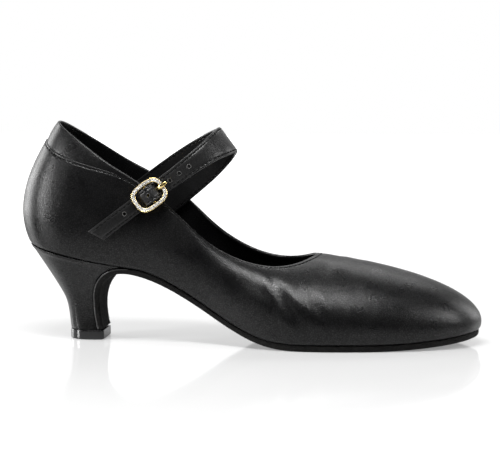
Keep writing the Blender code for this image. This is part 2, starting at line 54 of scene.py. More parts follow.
# %% [markdown]
# ## One set of sizes
# The shapes are worked out in millimetres from the back of the heel seat, as a last maker would
# measure them, and are then moved into the frame. The plastic tip of the heel shows where the
# frame has put that point, because its front edge is a known distance from it.

# %% Millimetres into the frame
MM = 0.001
LIFT_FRONT = 40.7
lift_low, lift_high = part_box("top_lift")
SHIFT = np.array([lift_high[0] / MM - LIFT_FRONT, (lift_low[1] + lift_high[1]) / 2 / MM, 0.0])


def placed(points):
    return (np.asarray(points, float) + SHIFT) * MM


print("heel seat lies at", np.round(SHIFT, 2), "mm")

# %% [markdown]
# ## The last
# A shoe takes its form from the last it is pulled over. Seventeen sections describe it, from the
# back of the heel to the tip of the toe. Each row gives a point on the feather line, where the
# wall meets the sole, a point on the top line, and how the wall swells between the two. A smooth
# closed curve through each column turns the rows into a surface. Sculpting would give a softer
# but less exact wall, and seams could not follow it.

# %% Sections of the last
GROUND_X = (-4, 0, 13, 26, 40, 55, 63, 72, 82, 92, 102, 112, 122, 132, 142, 180, 195, 210, 225, 238)
GROUND_Z = (
    52, 51, 47.8, 44.9, 42.2, 39.8, 38.2, 34.8, 29.6, 23.6, 17.2, 11.4, 6.9, 4.3, 3.6, 3.6, 3.9, 4.8, 6.3, 8.2
)
Station = namedtuple(
    "Station",
    "feather_x feather_lat feather_med top_x top_lat top_med top_z medial_rise wrap "
    "bulge_lat bulge_med bulge_high collar",
)
STATIONS = (
    Station(0, 0, 0, 15, 0, 0, 114.7, 0, 50, 5, 5, 0, 10),
    Station(6, 15, 15, 17.5, 9.5, 9.5, 113, 0, 50, 4.8, 4.8, 0, 11),
    Station(15, 22, 22, 24, 16, 16, 108.6, 0, 50, 4.4, 4.4, 0.1, 10.8),
    Station(28, 25, 25, 35, 21.5, 21.3, 101, 0.3, 48, 4, 4, 0.2, 7.6),
    Station(45, 24.5, 23.5, 47, 24.2, 24, 92.7, 0.8, 45, 3.8, 4.4, 0.4, 3.3),
    Station(60, 23.2, 21.2, 58.5, 24.6, 24.2, 85.8, 1.6, 42, 3.8, 5.2, 0.5, 1.7),
    Station(77, 22.7, 19.5, 70.5, 24.4, 24, 77.4, 3, 40, 4.2, 6, 0.5, 1.5),
    Station(95, 24, 20, 83, 24, 23.6, 67.2, 3.6, 40, 4, 6, 0.5, 1.5),
    Station(114, 29.2, 26.6, 97, 23.6, 23.4, 54.4, 3.6, 45, 3.4, 5, 0.5, 1.5),
    Station(133, 35.6, 35.4, 112, 23, 23, 45.8, 2.6, 54, 3, 3.4, 0.5, 1.5),
    Station(150, 39, 38.6, 125, 22.2, 22.6, 42, 1.6, 62, 3, 3, 0.3, 1.5),
    Station(167, 38.3, 39.5, 136, 20.2, 20.8, 41.4, 1, 66, 3, 3, 0.2, 1.5),
    Station(184, 35.8, 37.5, 144.5, 15.4, 16.2, 43, 0.6, 68, 3, 3, 0, 1.5),
    Station(202, 31, 33.2, 149.6, 9.8, 10.8, 44.9, 0.3, 70, 3, 3, 0, 1.5),
    Station(219, 23.6, 25.6, 151.8, 4.8, 6, 45.8, 0, 70, 3, 3, 0, 1.5),
    Station(231, 13.9, 15.7, 152.5, 1.9, 3, 46.1, 0, 70, 3, 3, 0, 1.5),
    Station(237, -0.9, 0.9, 152.7, -0.55, 0.55, 46.2, 0, 70, 3, 3, 0, 1.5),
)
ROUND = 2 * len(STATIONS) - 2
FINE = 0.01
print(len(STATIONS), "sections,", ROUND, "rows once round the shoe")


# %% Curves through the sections
def span(values, bend, one, two, t):
    """A cubic curve a share t of the way from row one to row two."""
    s = 1 - t
    return s * values[one] + t * values[two] + ((s**3 - s) * bend[one] + (t**3 - t) * bend[two]) / 6


def closed_spline(values):
    """A smooth closed curve through the values, as a function of the row number."""
    values = np.array(values, float)
    count = len(values)
    row = np.arange(count)
    matrix = np.zeros((count, count))
    matrix[row, row] = 4
    matrix[row, (row + 1) % count] = 1
    matrix[row, (row - 1) % count] = 1
    bend = np.linalg.solve(matrix, 6 * (np.roll(values, -1) - 2 * values + np.roll(values, 1)))

    def at(where):
        low = np.floor(where)
        one = low.astype(int) % count
        return span(values, bend, one, (one + 1) % count, where - low)

    return at


def open_spline(values):
    """A smooth open curve through the values, as a function of the row number."""
    values = np.array(values, float)
    count = len(values)
    matrix = np.eye(count)
    pull = np.zeros(count)
    for row in range(1, count - 1):
        matrix[row, row - 1 : row + 2] = (1, 4, 1)
        pull[row] = 6 * (values[row + 1] - 2 * values[row] + values[row - 1])
    bend = np.linalg.solve(matrix, pull)

    def at(where):
        one = np.clip(np.floor(where).astype(int), 0, count - 2)
        return span(values, bend, one, one + 1, where - one)

    return at


def even_curve(xs, ys):
    """A curve through the points that never swings past them, so a level run stays level."""
    xs = np.array(xs, float)
    ys = np.array(ys, float)
    step = np.diff(xs)
    rise = np.diff(ys) / step
    slope = np.zeros(len(xs))
    slope[0] = rise[0]
    slope[-1] = rise[-1]
    for row in range(1, len(xs) - 1):
        if rise[row - 1] * rise[row] > 0:
            before = 2 * step[row] + step[row - 1]
            after = step[row] + 2 * step[row - 1]
            slope[row] = (before + after) / (before / rise[row - 1] + after / rise[row])

    def at(x):
        x = np.asarray(x, float)
        k = np.clip(np.searchsorted(xs, x, side="right") - 1, 0, len(step) - 1)
        t = np.clip((x - xs[k]) / step[k], 0, 1)
        low = (1 + 2 * t) * (1 - t) ** 2 * ys[k] + t * (1 - t) ** 2 * step[k] * slope[k]
        return low + t**2 * (3 - 2 * t) * ys[k + 1] + t**2 * (t - 1) * step[k] * slope[k + 1]

    return at


def unit(vectors):
    return vectors / np.linalg.norm(vectors, axis=-1, keepdims=True)


def ring_of(lateral, medial):
    """Values of the sections once round the shoe: heel, outer side, toe, inner side."""
    return closed_spline(list(lateral) + list(medial[-2:0:-1]))


def column(name):
    return [getattr(station, name) for station in STATIONS]


ground = even_curve(GROUND_X, GROUND_Z)
feather_x = ring_of(column("feather_x"), column("feather_x"))
feather_y = ring_of([-y for y in column("feather_lat")], column("feather_med"))
top_x = ring_of(column("top_x"), column("top_x"))
top_y = ring_of([-y for y in column("top_lat")], column("top_med"))
top_z = ring_of(column("top_z"), [s.top_z + s.medial_rise for s in STATIONS])
wrap_angle = ring_of(column("wrap"), column("wrap"))
bulge = ring_of(column("bulge_lat"), column("bulge_med"))
bulge_high = ring_of(column("bulge_high"), column("bulge_high"))
collar_depth = ring_of(column("collar"), column("collar"))
print("toe tip at", round(float(feather_x(np.array(16.0))), 1), "mm")


# %% The wall as a surface
LOW_SWELL = 6.75
HIGH_SWELL = 4.93
HIGH_LEAN = 0.4


def feather_out(u):
    """Outward direction of the feather line in plan."""
    along_x = feather_x(u + FINE) - feather_x(u - FINE)
    along_y = feather_y(u + FINE) - feather_y(u - FINE)
    return unit(np.stack([along_y, -along_x], -1))


def ray(u, v):
    """Outer face of the wall: u once round the shoe, v from the feather line up to the top line."""
    out = feather_out(u)
    foot_x = feather_x(u)
    foot_y = feather_y(u)
    foot_z = ground(foot_x)
    most = np.radians(wrap_angle(u))
    angle = v * most
    inward = (1 - np.cos(angle)) / (1 - np.cos(most))
    upward = np.sin(angle) / np.sin(most)
    low = LOW_SWELL * v * (1 - v) ** 2
    high = HIGH_SWELL * v * (1 - v) * (1 - HIGH_LEAN * v)
    swell = bulge(u) * (low + (high - low) * bulge_high(u))
    x = foot_x + (top_x(u) - foot_x) * inward + out[..., 0] * swell
    y = foot_y + (top_y(u) - foot_y) * inward + out[..., 1] * swell
    z = foot_z + (top_z(u) - foot_z) * upward
    return np.stack([x, y, z], -1)


def wall_point(u, v):
    """As ray(), and running straight on above the top line."""
    u = np.asarray(u, float) + np.zeros_like(np.asarray(v, float))
    v = np.asarray(v, float) + np.zeros_like(u)
    below = np.minimum(v, 1)
    rise = (ray(u, below) - ray(u, below - FINE)) / FINE
    return ray(u, below) + rise * (v - below)[..., None]


def wall_normal(u, v):
    around = wall_point(u + FINE, v) - wall_point(u - FINE, v)
    upward = wall_point(u, v + FINE) - wall_point(u, v - FINE)
    return unit(np.cross(around, upward))


def wall_height(u):
    """Length in millimetres that one unit of v has at the top line."""
    return np.linalg.norm(wall_point(u, 1.0) - wall_point(u, 1.0 - FINE), axis=-1) / FINE


print("wall at the back is", round(float(wall_height(np.zeros(1))[0]), 1), "mm high")

# %% [markdown]
# ## Seams and creases in the leather
# The back collar is a panel of its own: the quarter lies on top of it and is sewn down, so the wall drops
# half a millimetre at that seam and the collar puffs out a little above it. A sewn row pulls a shallow
# groove. Where the ball of the foot bends the shoe, the leather keeps soft flex creases, drawn here as
# strokes listed one by one: a trough with a low ridge on both sides. They are real changes in the wall, so
# they show in the outline and take the light from every side.

# %% Relief of the wall
TOPLINE_STITCH = 1.5
COLLAR_FADE = 5.0
COLLAR_STEP = 0.5
COLLAR_PUFF = 0.35
PUFF_FULL = 0.8
STITCH_BELOW = 0.4
COLLAR_MARGIN = 0.7
GROOVE_DEEP = 0.22
GROOVE_WIDE = 0.42
EDGE_ROLL = 0.1
ROLL_AT = 0.45
ROLL_WIDE = 0.3
SEAM_SOFT = 0.16
Stroke = namedtuple("Stroke", "side x0 h0 x1 h1 deep wide")
# A crease runs from x0, h0 to x1, h1: h is a height on the sides and a distance across on the vamp
CREASES = (
    Stroke("lateral", 151, 7, 127, 42, 0.7, 3.2),
    Stroke("lateral", 162, 12, 150, 32, 0.34, 2.6),
    Stroke("lateral", 138, 17, 118, 41, 0.42, 2.9),
    Stroke("lateral", 127, 25, 113, 40, 0.2, 2.3),
    Stroke("lateral", 170, 9, 163, 24, 0.16, 2.2),
    Stroke("medial", 149, 8, 128, 42, 0.62, 3.1),
    Stroke("medial", 160, 12, 149, 34, 0.32, 2.6),
    Stroke("medial", 136, 18, 118, 43, 0.38, 2.9),
    Stroke("medial", 125, 26, 112, 41, 0.18, 2.3),
    Stroke("vamp", 157, -30, 163, 4, 0.42, 3.3),
    Stroke("vamp", 165, -4, 158, 31, 0.36, 3.1),
    Stroke("vamp", 171, -22, 174, 14, 0.22, 3.4),
)
VAMP_FROM = 24.0
VAMP_FADE = 8.0
SIDE_FADE = 6.0
CREASE_ENDS = 2.2


def collar_share(u):
    """1 where the back collar is full, 0 where its seam has run into the top line."""
    return np.clip((collar_depth(u) - TOPLINE_STITCH) / COLLAR_FADE, 0, 1)


def stitch_depth(u):
    """How far below the top line the sewn row runs."""
    return collar_depth(u) + STITCH_BELOW + COLLAR_MARGIN * collar_share(u)


def soft_step(value):
    value = np.clip(value, 0, 1)
    return value * value * (3 - 2 * value)


def crease_relief(points):
    """Height of the flex creases: each a trough between two low ridges, fading at its ends."""
    total = np.zeros(points.shape[:-1])
    for s in CREASES:
        height = points[..., 1] if s.side == "vamp" else points[..., 2]
        gate = {
            "vamp": soft_step((points[..., 2] - VAMP_FROM) / VAMP_FADE),
            "lateral": soft_step(-points[..., 1] / SIDE_FADE),
            "medial": soft_step(points[..., 1] / SIDE_FADE),
        }[s.side]
        way = np.array([s.x1 - s.x0, s.h1 - s.h0], float)
        size = np.hypot(*way)
        way /= size
        along = ((points[..., 0] - s.x0) * way[0] + (height - s.h0) * way[1]) / size
        aside = ((points[..., 0] - s.x0) * way[1] - (height - s.h0) * way[0]) / s.wide
        fade = soft_step(CREASE_ENDS * along) * soft_step(CREASE_ENDS * (1 - along))
        total -= s.deep * gate * fade * (1 - aside**2) * np.exp(-(aside**2) / 2)
    return total


def seam_relief(u, depth):
    """Height of the collar, of the cut edge of the quarter and of the sewn groove."""
    collar = collar_depth(u)
    share = collar_share(u)
    above = soft_step((collar - depth) / SEAM_SOFT + 0.5)
    inside = np.clip(depth / collar, 0, 1)
    puff = COLLAR_PUFF * share * np.sin(math.pi * inside) ** PUFF_FULL * above
    groove = GROOVE_DEEP * np.exp(-(((depth - stitch_depth(u)) / GROOVE_WIDE) ** 2))
    roll = EDGE_ROLL * np.exp(-(((depth - collar - ROLL_AT) / ROLL_WIDE) ** 2)) * share
    return puff + roll - groove - COLLAR_STEP * share * above


def skin(u, v):
    """The finished outer face, with its seams and creases."""
    base = wall_point(u, v)
    relief = crease_relief(base) + seam_relief(u, (1 - v) * wall_height(u))
    return base + relief[:, None] * wall_normal(u, v)


print(len(CREASES), "creases")

# %% [markdown]
# ## The upper
# An upper is a ring of wall: outside, over the folded top edge, down the lining and back under at
# the feather line. Each row of points runs once round the shoe, and the last row meets the first.
# So a flat grid is added, its points are moved to their places on the wall, and it is merged
# where it meets itself. The result is one closed skin with no loose edges.

# %% The upper's section, row by row
WALL = 1.8
RIM_RISE = 0.75
AROUND = ROUND * 12
WALL_ROWS = 40
SEAM_ZONE = 3.0
SEAM_ROWS = (2.6, 2.2, 1.85, 1.6, 1.4, 1.2, 1.0, 0.8, 0.6, 0.4, 0.25, 0.12, 0.05, 0.0, -0.05, -0.12, -0.25)
COLLAR_ROWS = (0.9, 0.78, 0.64, 0.5, 0.36, 0.24, 0.14, 0.06, 0.0)
RIM_TURN = np.radians((20, 45, 70, 90, 110, 135, 160))
LINING_ROWS = 22
TUCK = 0.35


def upper_rows(u):
    """Outer face from the feather line up, the folded edge, and the lining down again."""
    height = wall_height(u)
    collar = collar_depth(u)
    seam = 1 - (collar + SEAM_ZONE) / height
    rows = [skin(u, seam * part) for part in np.linspace(0, 1, WALL_ROWS)]
    rows[0][:, :2] -= TUCK * feather_out(u)
    rows += [skin(u, 1 - (collar + extra) / height) for extra in SEAM_ROWS]
    rows += [skin(u, 1 - (collar + SEAM_ROWS[-1]) * part / height) for part in COLLAR_ROWS]
    outer = rows[-1]
    inner = wall_point(u, 1.0) - WALL * wall_normal(u, 1.0)
    upward = unit(wall_point(u, 1.0) - wall_point(u, 1.0 - FINE))
    for turn in RIM_TURN:
        over = outer + (inner - outer) * (1 - math.cos(turn)) / 2
        rows.append(over + RIM_RISE * math.sin(turn) * upward)
    for part in np.linspace(1, 0, LINING_ROWS):
        v = np.full(len(u), part)
        rows.append(wall_point(u, v) - WALL * wall_normal(u, v))
    rows[-1][:, :2] = wall_point(u, 0.0)[:, :2] - WALL * feather_out(u)
    rows[-1][:, 2] = ground(rows[-1][:, 0])
    return rows


u_around = np.arange(AROUND) * ROUND / AROUND
upper_section = upper_rows(u_around)
OUTER_ROWS = WALL_ROWS + len(SEAM_ROWS) + len(COLLAR_ROWS) + len(RIM_TURN)
print(len(upper_section), "rows,", OUTER_ROWS, "of them leather")


# %% Helpers that finish a mesh
SAME_POINT = 2e-6


def only(piece):
    bpy.ops.object.select_all(action="DESELECT")
    piece.select_set(True)
    bpy.context.view_layer.objects.active = piece


def added(make, **settings):
    """Adds one primitive with nothing else selected."""
    bpy.ops.object.select_all(action="DESELECT")
    make(**settings)
    return bpy.context.object


def in_edit(piece, *steps):
    """Runs edit-mode steps on everything that the piece has."""
    only(piece)
    bpy.ops.object.mode_set(mode="EDIT")
    bpy.ops.mesh.select_all(action="SELECT")
    for step in steps:
        step()
    bpy.ops.object.mode_set(mode="OBJECT")


def face_out():
    bpy.ops.mesh.normals_make_consistent(inside=False)


def merge_near():
    bpy.ops.mesh.remove_doubles(threshold=SAME_POINT)


def set_points(piece, points):
    piece.data.vertices.foreach_set("co", np.asarray(points, np.float32).ravel())
    piece.data.update()


def sheet_of(name, rows, finish):
    """A flat grid bent to rows of points, with a finish number for the faces between the rows."""
    rows = np.asarray(rows)
    high, wide = np.array(rows.shape[:2]) - 1
    piece = added(bpy.ops.mesh.primitive_grid_add, x_subdivisions=int(wide), y_subdivisions=int(high))
    piece.name = name
    set_points(piece, placed(rows.reshape(-1, 3)))
    finish = np.broadcast_to(np.asarray(finish, np.int32).T, (wide, high)).T
    piece.data.polygons.foreach_set("material_index", np.ascontiguousarray(finish).ravel())
    return piece


def torus_of(name, rows, finish=0):
    """A closed skin: each row runs once round, and the rows close on themselves."""
    rows = np.asarray(rows)
    rows = np.concatenate([rows, rows[:1]])
    piece = sheet_of(name, np.concatenate([rows, rows[:, :1]], axis=1), finish)
    in_edit(piece, merge_near, face_out)
    bpy.ops.object.shade_smooth()
    return piece


def apply_all(piece):
    only(piece)
    for modifier in list(piece.modifiers):
        bpy.ops.object.modifier_apply(modifier=modifier.name)


print("mesh helpers ready")

# %% The upper's skin
LEATHER, LINING, EDGE = 0, 1, 2
FOLD_ROWS = 3
SEAM_EDGE = 0.12
COLLAR_SHOWS = 0.1
upper_finish = np.full((len(upper_section), AROUND), LEATHER)
upper_finish[OUTER_ROWS - FOLD_ROWS : -1] = LINING
fold_from = OUTER_ROWS - len(RIM_TURN)
# The folded top edge takes the edge finish: its lighter colour is a painted highlight line along the fold.
upper_finish[fold_from - 1 : fold_from + FOLD_ROWS] = EDGE
# The quarter's cut edge over the collar takes it too: a painted highlight line along the seam.
seam_rows = range(WALL_ROWS + SEAM_ROWS.index(SEAM_EDGE), WALL_ROWS + len(SEAM_ROWS) - 2)
collar_columns = np.flatnonzero(collar_share(u_around) > COLLAR_SHOWS)
upper_finish[np.ix_(seam_rows, collar_columns)] = EDGE
upper = torus_of("upper_skin", upper_section, upper_finish)
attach(upper, "root")
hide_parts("upper")
print(len(upper.data.polygons), "faces in the upper")

# %% [markdown]
# ## Strap and buckle axes
# The strap lies on the outer quarter, rises in a free loop over the instep and is sewn inside the
# inner quarter. It is laid out flat first, as a pattern cutter would: a distance along it, and a
# half-width. The quarter's own surface then says how far out each point lies.

# %% Where the strap lies
STRAP_THICK = 1.8
STRAP_ORIGIN = np.array([41.0, 0.0, 57.0])
STRAP_ALONG = np.array([0.8, 0.0, 0.6])
STRAP_ACROSS = np.array([-0.6, 0.0, 0.8])
STRAP_CREST = 80.0
STRAP_LEAVES = 46.0
STRAP_BASE = 24.0
STRAP_ROUND = 2.3
LATERAL = -1
MEDIAL = 1
TOPLINE_RUN = {LATERAL: 34.0, MEDIAL: 36.6}
TOPLINE_SKEW = {LATERAL: 0.3, MEDIAL: 0.42}
SLOPE_OVER = 3.0
TAIL_SLANT = 0.5
TAIL_CUT = 9.0
GAP = 0.3
WALL_STEPS = 16
MOST_U = 0.3
MOST_V = 0.1
GUESS_U = np.linspace(2, 9, 57)
GUESS_V = np.linspace(0.05, 1.0, 40)
TAIL_STATIONS = np.concatenate([np.linspace(0, 20, 15), np.linspace(21, STRAP_LEAVES, 51)])
BASE_STATIONS = np.linspace(STRAP_LEAVES, STRAP_BASE, 14)
ARCH_TURN = np.radians(np.linspace(0, 90, 31)[1:])
# Distance along the strap with its half-width on each side, and with its clearance from the quarter
WIDTH_LAT = ((0, 4.2), (20, 4.2), (34, 4.3), (57, 4.8), (68, 5.6), (75, 6.7), (80, 8))
WIDTH_MED = ((24, 13), (38, 12.9), (57, 12), (73, 9.8), (80, 8))
STAND_OFF = (
    (0, 0.3), (14, 0.3), (24, 0.4), (28, 0.7), (31, 3.1), (34, 4.5), (37, 3.1), (40, 0.6), (46, 0.5),
)
stand_off = even_curve(*zip(*STAND_OFF))
width_lat = even_curve(*zip(*WIDTH_LAT))
width_med = even_curve(*zip(*WIDTH_MED))


def wall_beside(x, z, side):
    """Where the wall of one side passes a point of the side view: its y, and its normal there."""
    grid_u, grid_v = np.meshgrid(GUESS_U, GUESS_V, indexing="ij")
    if side > 0:
        grid_u = ROUND - grid_u
    guess = wall_point(grid_u, grid_v).reshape(-1, 3)
    shape = np.shape(x)
    aim = np.stack([np.ravel(x), np.ravel(z)], -1)
    nearest = [np.argmin((guess[:, 0] - a) ** 2 + (guess[:, 2] - b) ** 2) for a, b in aim]
    u = grid_u.ravel()[nearest]
    v = grid_v.ravel()[nearest]
    for _ in range(WALL_STEPS):
        here = wall_point(u, v)
        by_u = (wall_point(u + FINE, v) - here) / FINE
        by_v = (wall_point(u, v + FINE) - here) / FINE
        miss_x = aim[:, 0] - here[:, 0]
        miss_z = aim[:, 1] - here[:, 2]
        size = by_u[:, 0] * by_v[:, 2] - by_v[:, 0] * by_u[:, 2]
        u = u + np.clip((miss_x * by_v[:, 2] - miss_z * by_v[:, 0]) / size, -MOST_U, MOST_U)
        v = v + np.clip((miss_z * by_u[:, 0] - miss_x * by_u[:, 2]) / size, -MOST_V, MOST_V)
    return wall_point(u, v)[:, 1].reshape(shape), wall_normal(u, v).reshape(shape + (3,))


def quarter_under(run, across, side):
    """The quarter's outer face under points of the strap, carried straight on above the top line."""
    limit = TOPLINE_RUN[side] - TOPLINE_SKEW[side] * across
    low = np.minimum(run, limit)

    def face(at):
        points = STRAP_ORIGIN + at[..., None] * STRAP_ALONG + across[..., None] * STRAP_ACROSS
        return wall_beside(points[..., 0], points[..., 2], side)

    y, normal = face(low)
    slope = (y - face(low - SLOPE_OVER)[0]) / SLOPE_OVER
    return y + (run - low) * slope, normal


def strap_layer(parts):
    """Middle layer of the strap from the tail to the sewn base, and its half-width at each station."""
    climb = STRAP_LEAVES + (STRAP_CREST - STRAP_LEAVES) * np.sin(ARCH_TURN) ** (2 / STRAP_ROUND)
    along = np.concatenate([TAIL_STATIONS, climb, climb[-2::-1], BASE_STATIONS])
    station = np.arange(len(along))
    free = len(TAIL_STATIONS)
    crest_at = free + len(climb)
    base = len(along) - len(BASE_STATIONS)
    half = np.where(station < crest_at, width_lat(along), width_med(along))
    across = half[:, None] * parts
    slant = np.clip(1 - along / TAIL_CUT, 0, 1) * (station < free)
    run = along[:, None] - TAIL_SLANT * across * slant[:, None]
    points = STRAP_ORIGIN + run[..., None] * STRAP_ALONG + across[..., None] * STRAP_ACROSS
    points[:free, :, 1], normal = quarter_under(run[:free], across[:free], LATERAL)
    lift = stand_off(along[:free]) + STRAP_THICK / 2
    points[:free] += lift[:, None, None] * normal
    points[base:, :, 1], normal = quarter_under(run[base:], across[base:], MEDIAL)
    points[base:] -= (WALL + GAP + STRAP_THICK / 2) * normal
    fall = np.cos(ARCH_TURN) ** (2 / STRAP_ROUND)
    points[free:crest_at, :, 1] = fall[:, None] * points[free - 1, :, 1]
    points[crest_at:base, :, 1] = fall[-2::-1, None] * points[base, :, 1]
    return points, half


STRAP_PARTS = np.linspace(-1, 1, 21)
strap_points, strap_half = strap_layer(STRAP_PARTS)
strap_out = unit(np.cross(np.gradient(strap_points, axis=0), np.gradient(strap_points, axis=1)))
print(len(strap_points), "stations along the strap")

# %% [markdown]
# ## The strap
# Two layers of leather are sewn together with their edges painted, so the strap is about as thick as a coin
# is, with softly rounded edges and a shallow groove under each sewn row. The edge rows are coloured lighter
# than the strap, a painted highlight for the line of light they catch. A grid is wrapped once round that
# section and its two open ends are filled. The holes are punched with round cutters afterwards, as with a
# real strap.

# %% The strap's section carried along its path
EDGE_ROUND = 0.75
STITCH_IN = 1.35
STRAP_GROOVE = 0.24
STRAP_GROOVE_WIDE = 0.3
STRAP_CROWN = 0.12
INSETS = np.array([0, 0.1, 0.25, 0.45, 0.7, 1.0, 1.2, 1.35, 1.5, 1.75, 2.2])
MIDDLE_PARTS = (-0.3, 0.0, 0.3)
HOLES_ALONG = (18.5, 34.5, 47.0, 53.0, 59.0)
HOLE_RADIUS = 0.95
HOLE_SIDES = 24
# Cut ends: millimetres in from the end, and the share of the full thickness there
END_ROUND = ((0.0, 0.45), (0.12, 0.8), (0.35, 1.0))


def across_at(grid, part):
    """Points of a station-by-part grid at one part of the width, which may change along the strap."""
    where = (np.broadcast_to(part, len(grid)) + 1) / 2 * (grid.shape[1] - 1)
    low = np.clip(np.floor(where).astype(int), 0, grid.shape[1] - 2)
    t = (where - low)[:, None]
    row = np.arange(len(grid))
    return grid[row, low] * (1 - t) + grid[row, low + 1] * t


def strap_rows():
    """Rows round the section: the outer face, one edge, the inner face and the other edge."""
    thick = STRAP_THICK / 2
    faces = []
    for side in (-1, 1):
        for depth in INSETS if side < 0 else INSETS[::-1]:
            edge = np.clip(1 - depth / EDGE_ROUND, 0, 1)
            height = thick * math.sqrt(1 - edge**2)
            height -= STRAP_GROOVE * math.exp(-(((depth - STITCH_IN) / STRAP_GROOVE_WIDE) ** 2))
            if depth == INSETS[-1]:
                height += STRAP_CROWN
            faces.append((side * (1 - depth / strap_half), height))
        if side < 0:
            faces += [(np.full(len(strap_half), part), thick + STRAP_CROWN) for part in MIDDLE_PARTS]
    rows = []
    for part, height in faces:
        rows.append(across_at(strap_points, part) + height * across_at(strap_out, part))
    for part, height in faces[::-1]:
        rows.append(across_at(strap_points, part) - min(height, thick) * across_at(strap_out, part))
    return np.array(rows)


def rounded_ends(rows):
    """Draws the first and last stations in a little, so that the cut ends aren't sharp."""
    ends = []
    for first, second in ((0, 1), (-1, -2)):
        way = unit(rows[:, second] - rows[:, first])
        layers = []
        for share, size in END_ROUND:
            edge = rows[:, first] + share * way
            layer = (edge + edge[::-1]) / 2
            layers.append(layer + (edge - layer) * size)
        ends.append(layers)
    body = [rows[:, k] for k in range(1, rows.shape[1] - 1)]
    return np.array(ends[0] + body + ends[1][::-1]).transpose(1, 0, 2)


strap_skin = rounded_ends(strap_rows())
print(strap_skin.shape[0], "points round the strap,", strap_skin.shape[1], "along it")


# %% A tube with filled ends
def fill_ends():
    bpy.ops.mesh.select_all(action="DESELECT")
    bpy.ops.mesh.select_mode(type="EDGE")
    bpy.ops.mesh.select_non_manifold()
    bpy.ops.mesh.fill_holes(sides=0)
    bpy.ops.mesh.select_mode(type="VERT")
    bpy.ops.mesh.select_all(action="SELECT")


def tube_of(name, rows, finish=0):
    """A closed tube: rows run along it, and the first row joins the last round its section."""
    piece = sheet_of(name, np.concatenate([rows, rows[:1]]), finish)
    in_edit(piece, merge_near, fill_ends, face_out)
    bpy.ops.object.shade_smooth()
    return piece


# Rows round each edge take the edge finish, whose lighter colour is a painted highlight along the strap's
# edges.
PAINTED_ROWS = 2
strap_finish = np.zeros((len(strap_skin), 1))
for middle in (0, len(strap_skin) // 2):
    strap_finish[np.arange(middle - 1 - PAINTED_ROWS, middle + PAINTED_ROWS) % len(strap_skin)] = 1
strap = tube_of("strap_leather", strap_skin, strap_finish)
print(len(strap.data.polygons), "faces")

# %% Punched holes
centre_line = strap_points[:, len(STRAP_PARTS) // 2]
centre_out = strap_out[:, len(STRAP_PARTS) // 2]
centre_run = (centre_line - STRAP_ORIGIN) @ STRAP_ALONG
crest = int(np.argmax(centre_run))


def spot_at(run):
    """Point on the strap's middle line, its outward direction and its direction along the strap."""
    k = int(np.argmin(np.abs(centre_run[:crest] - run)))
    point = np.array([np.interp(run, centre_run[:crest], centre_line[:crest, axis]) for axis in range(3)])
    return point, centre_out[k], unit(centre_line[k + 1] - centre_line[k - 1])


def turned(axis_x, axis_z):
    """Three square directions from a way along and an outward way."""
    axis_z = unit(axis_z)
    axis_y = unit(np.cross(axis_z, axis_x))
    return np.stack([np.cross(axis_y, axis_z), axis_y, axis_z], -2)


for run in HOLES_ALONG:
    point, out, way = spot_at(run)
    cylinder = bpy.ops.mesh.primitive_cylinder_add
    punch = added(cylinder, vertices=HOLE_SIDES, radius=HOLE_RADIUS, depth=4 * STRAP_THICK)
    local = np.array([v.co for v in punch.data.vertices])
    set_points(punch, placed(point + local @ turned(way, out)))
    cut = strap.modifiers.new("punch", "BOOLEAN")
    cut.operation = "DIFFERENCE"
    cut.solver = "EXACT"
    cut.object = punch
    apply_all(strap)
    bpy.data.objects.remove(punch, do_unlink=True)
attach(strap, "root")
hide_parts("strap")
print(len(HOLES_ALONG), "holes,", len(strap.data.polygons), "faces")

# %% [markdown]
# ## The buckle
# A plated frame, shaped like a small cushion, carries two rows of tiny clear stones on its face.
# Its prong turns on the centre bar under the strap and lies over the end bar. The frame is made as
# the upper is, from a grid led round a rounded rectangle, with a flat seat for the stones.

# %% Directions of the buckle
BUCKLE_AT = 34.0
FRAME_ALONG = 7.9
FRAME_ACROSS = 6.15
FRAME_HIGH = 5.0
FRAME_POWER = 3.2
FRAME_POINTS = 128
TURN_STEP = 0.002
# Paths from the middle of the buckle: along the strap or across it, and out from the quarter
PRONG_PATH = (
    (0.9, 0.95), (0, 0.75), (-1, 1.05), (-1.55, 2.1), (-1.3, 3.15), (-0.4, 3.8), (0.6, 3.75), (1.8, 3.2),
    (3, 2.75), (4, 3), (4.9, 3.75), (6, 4.85), (7.2, 5.65), (8.4, 5.85), (9.8, 5.8), (10.9, 5.65),
)
BAR_PATH = (
    (-6.05, 4.05), (-5.75, 2.9), (-5.2, 2.4), (-4.6, 2.3), (4.6, 2.3), (5.2, 2.4), (5.75, 2.9), (6.05, 4.05),
)
BAR_RADIUS = 0.8
buckle_foot = STRAP_ORIGIN + BUCKLE_AT * STRAP_ALONG
foot_y, foot_normal = wall_beside(buckle_foot[:1], buckle_foot[2:], LATERAL)
buckle_foot[1] = foot_y[0]
buckle_out = foot_normal[0]
buckle_along = unit(STRAP_ALONG - buckle_out * (STRAP_ALONG @ buckle_out))
buckle_across = np.cross(buckle_out, buckle_along)


def on_buckle(along, across, out):
    """Points from distances along the strap, across it and out from the quarter."""
    along, across, out = np.broadcast_arrays(along, across, out)
    return (
        buckle_foot
        + along[..., None] * buckle_along
        + across[..., None] * buckle_across
        + out[..., None] * buckle_out
    )


def middle_line(turn):
    """The frame's middle line, a rounded rectangle, at each turn angle."""
    waves = ((FRAME_ALONG, np.cos(turn)), (FRAME_ACROSS, np.sin(turn)))
    return np.stack([half * np.sign(w) * np.abs(w) ** (2 / FRAME_POWER) for half, w in waves], -1)


def cushion(turn, grow):
    """The line that runs grow millimetres outside the frame's middle line."""
    here = middle_line(turn)
    ahead = unit(middle_line(turn + TURN_STEP) - here)
    return here[:, 0] + grow * ahead[:, 1], here[:, 1] - grow * ahead[:, 0]


print("buckle faces", np.round(buckle_out, 2))

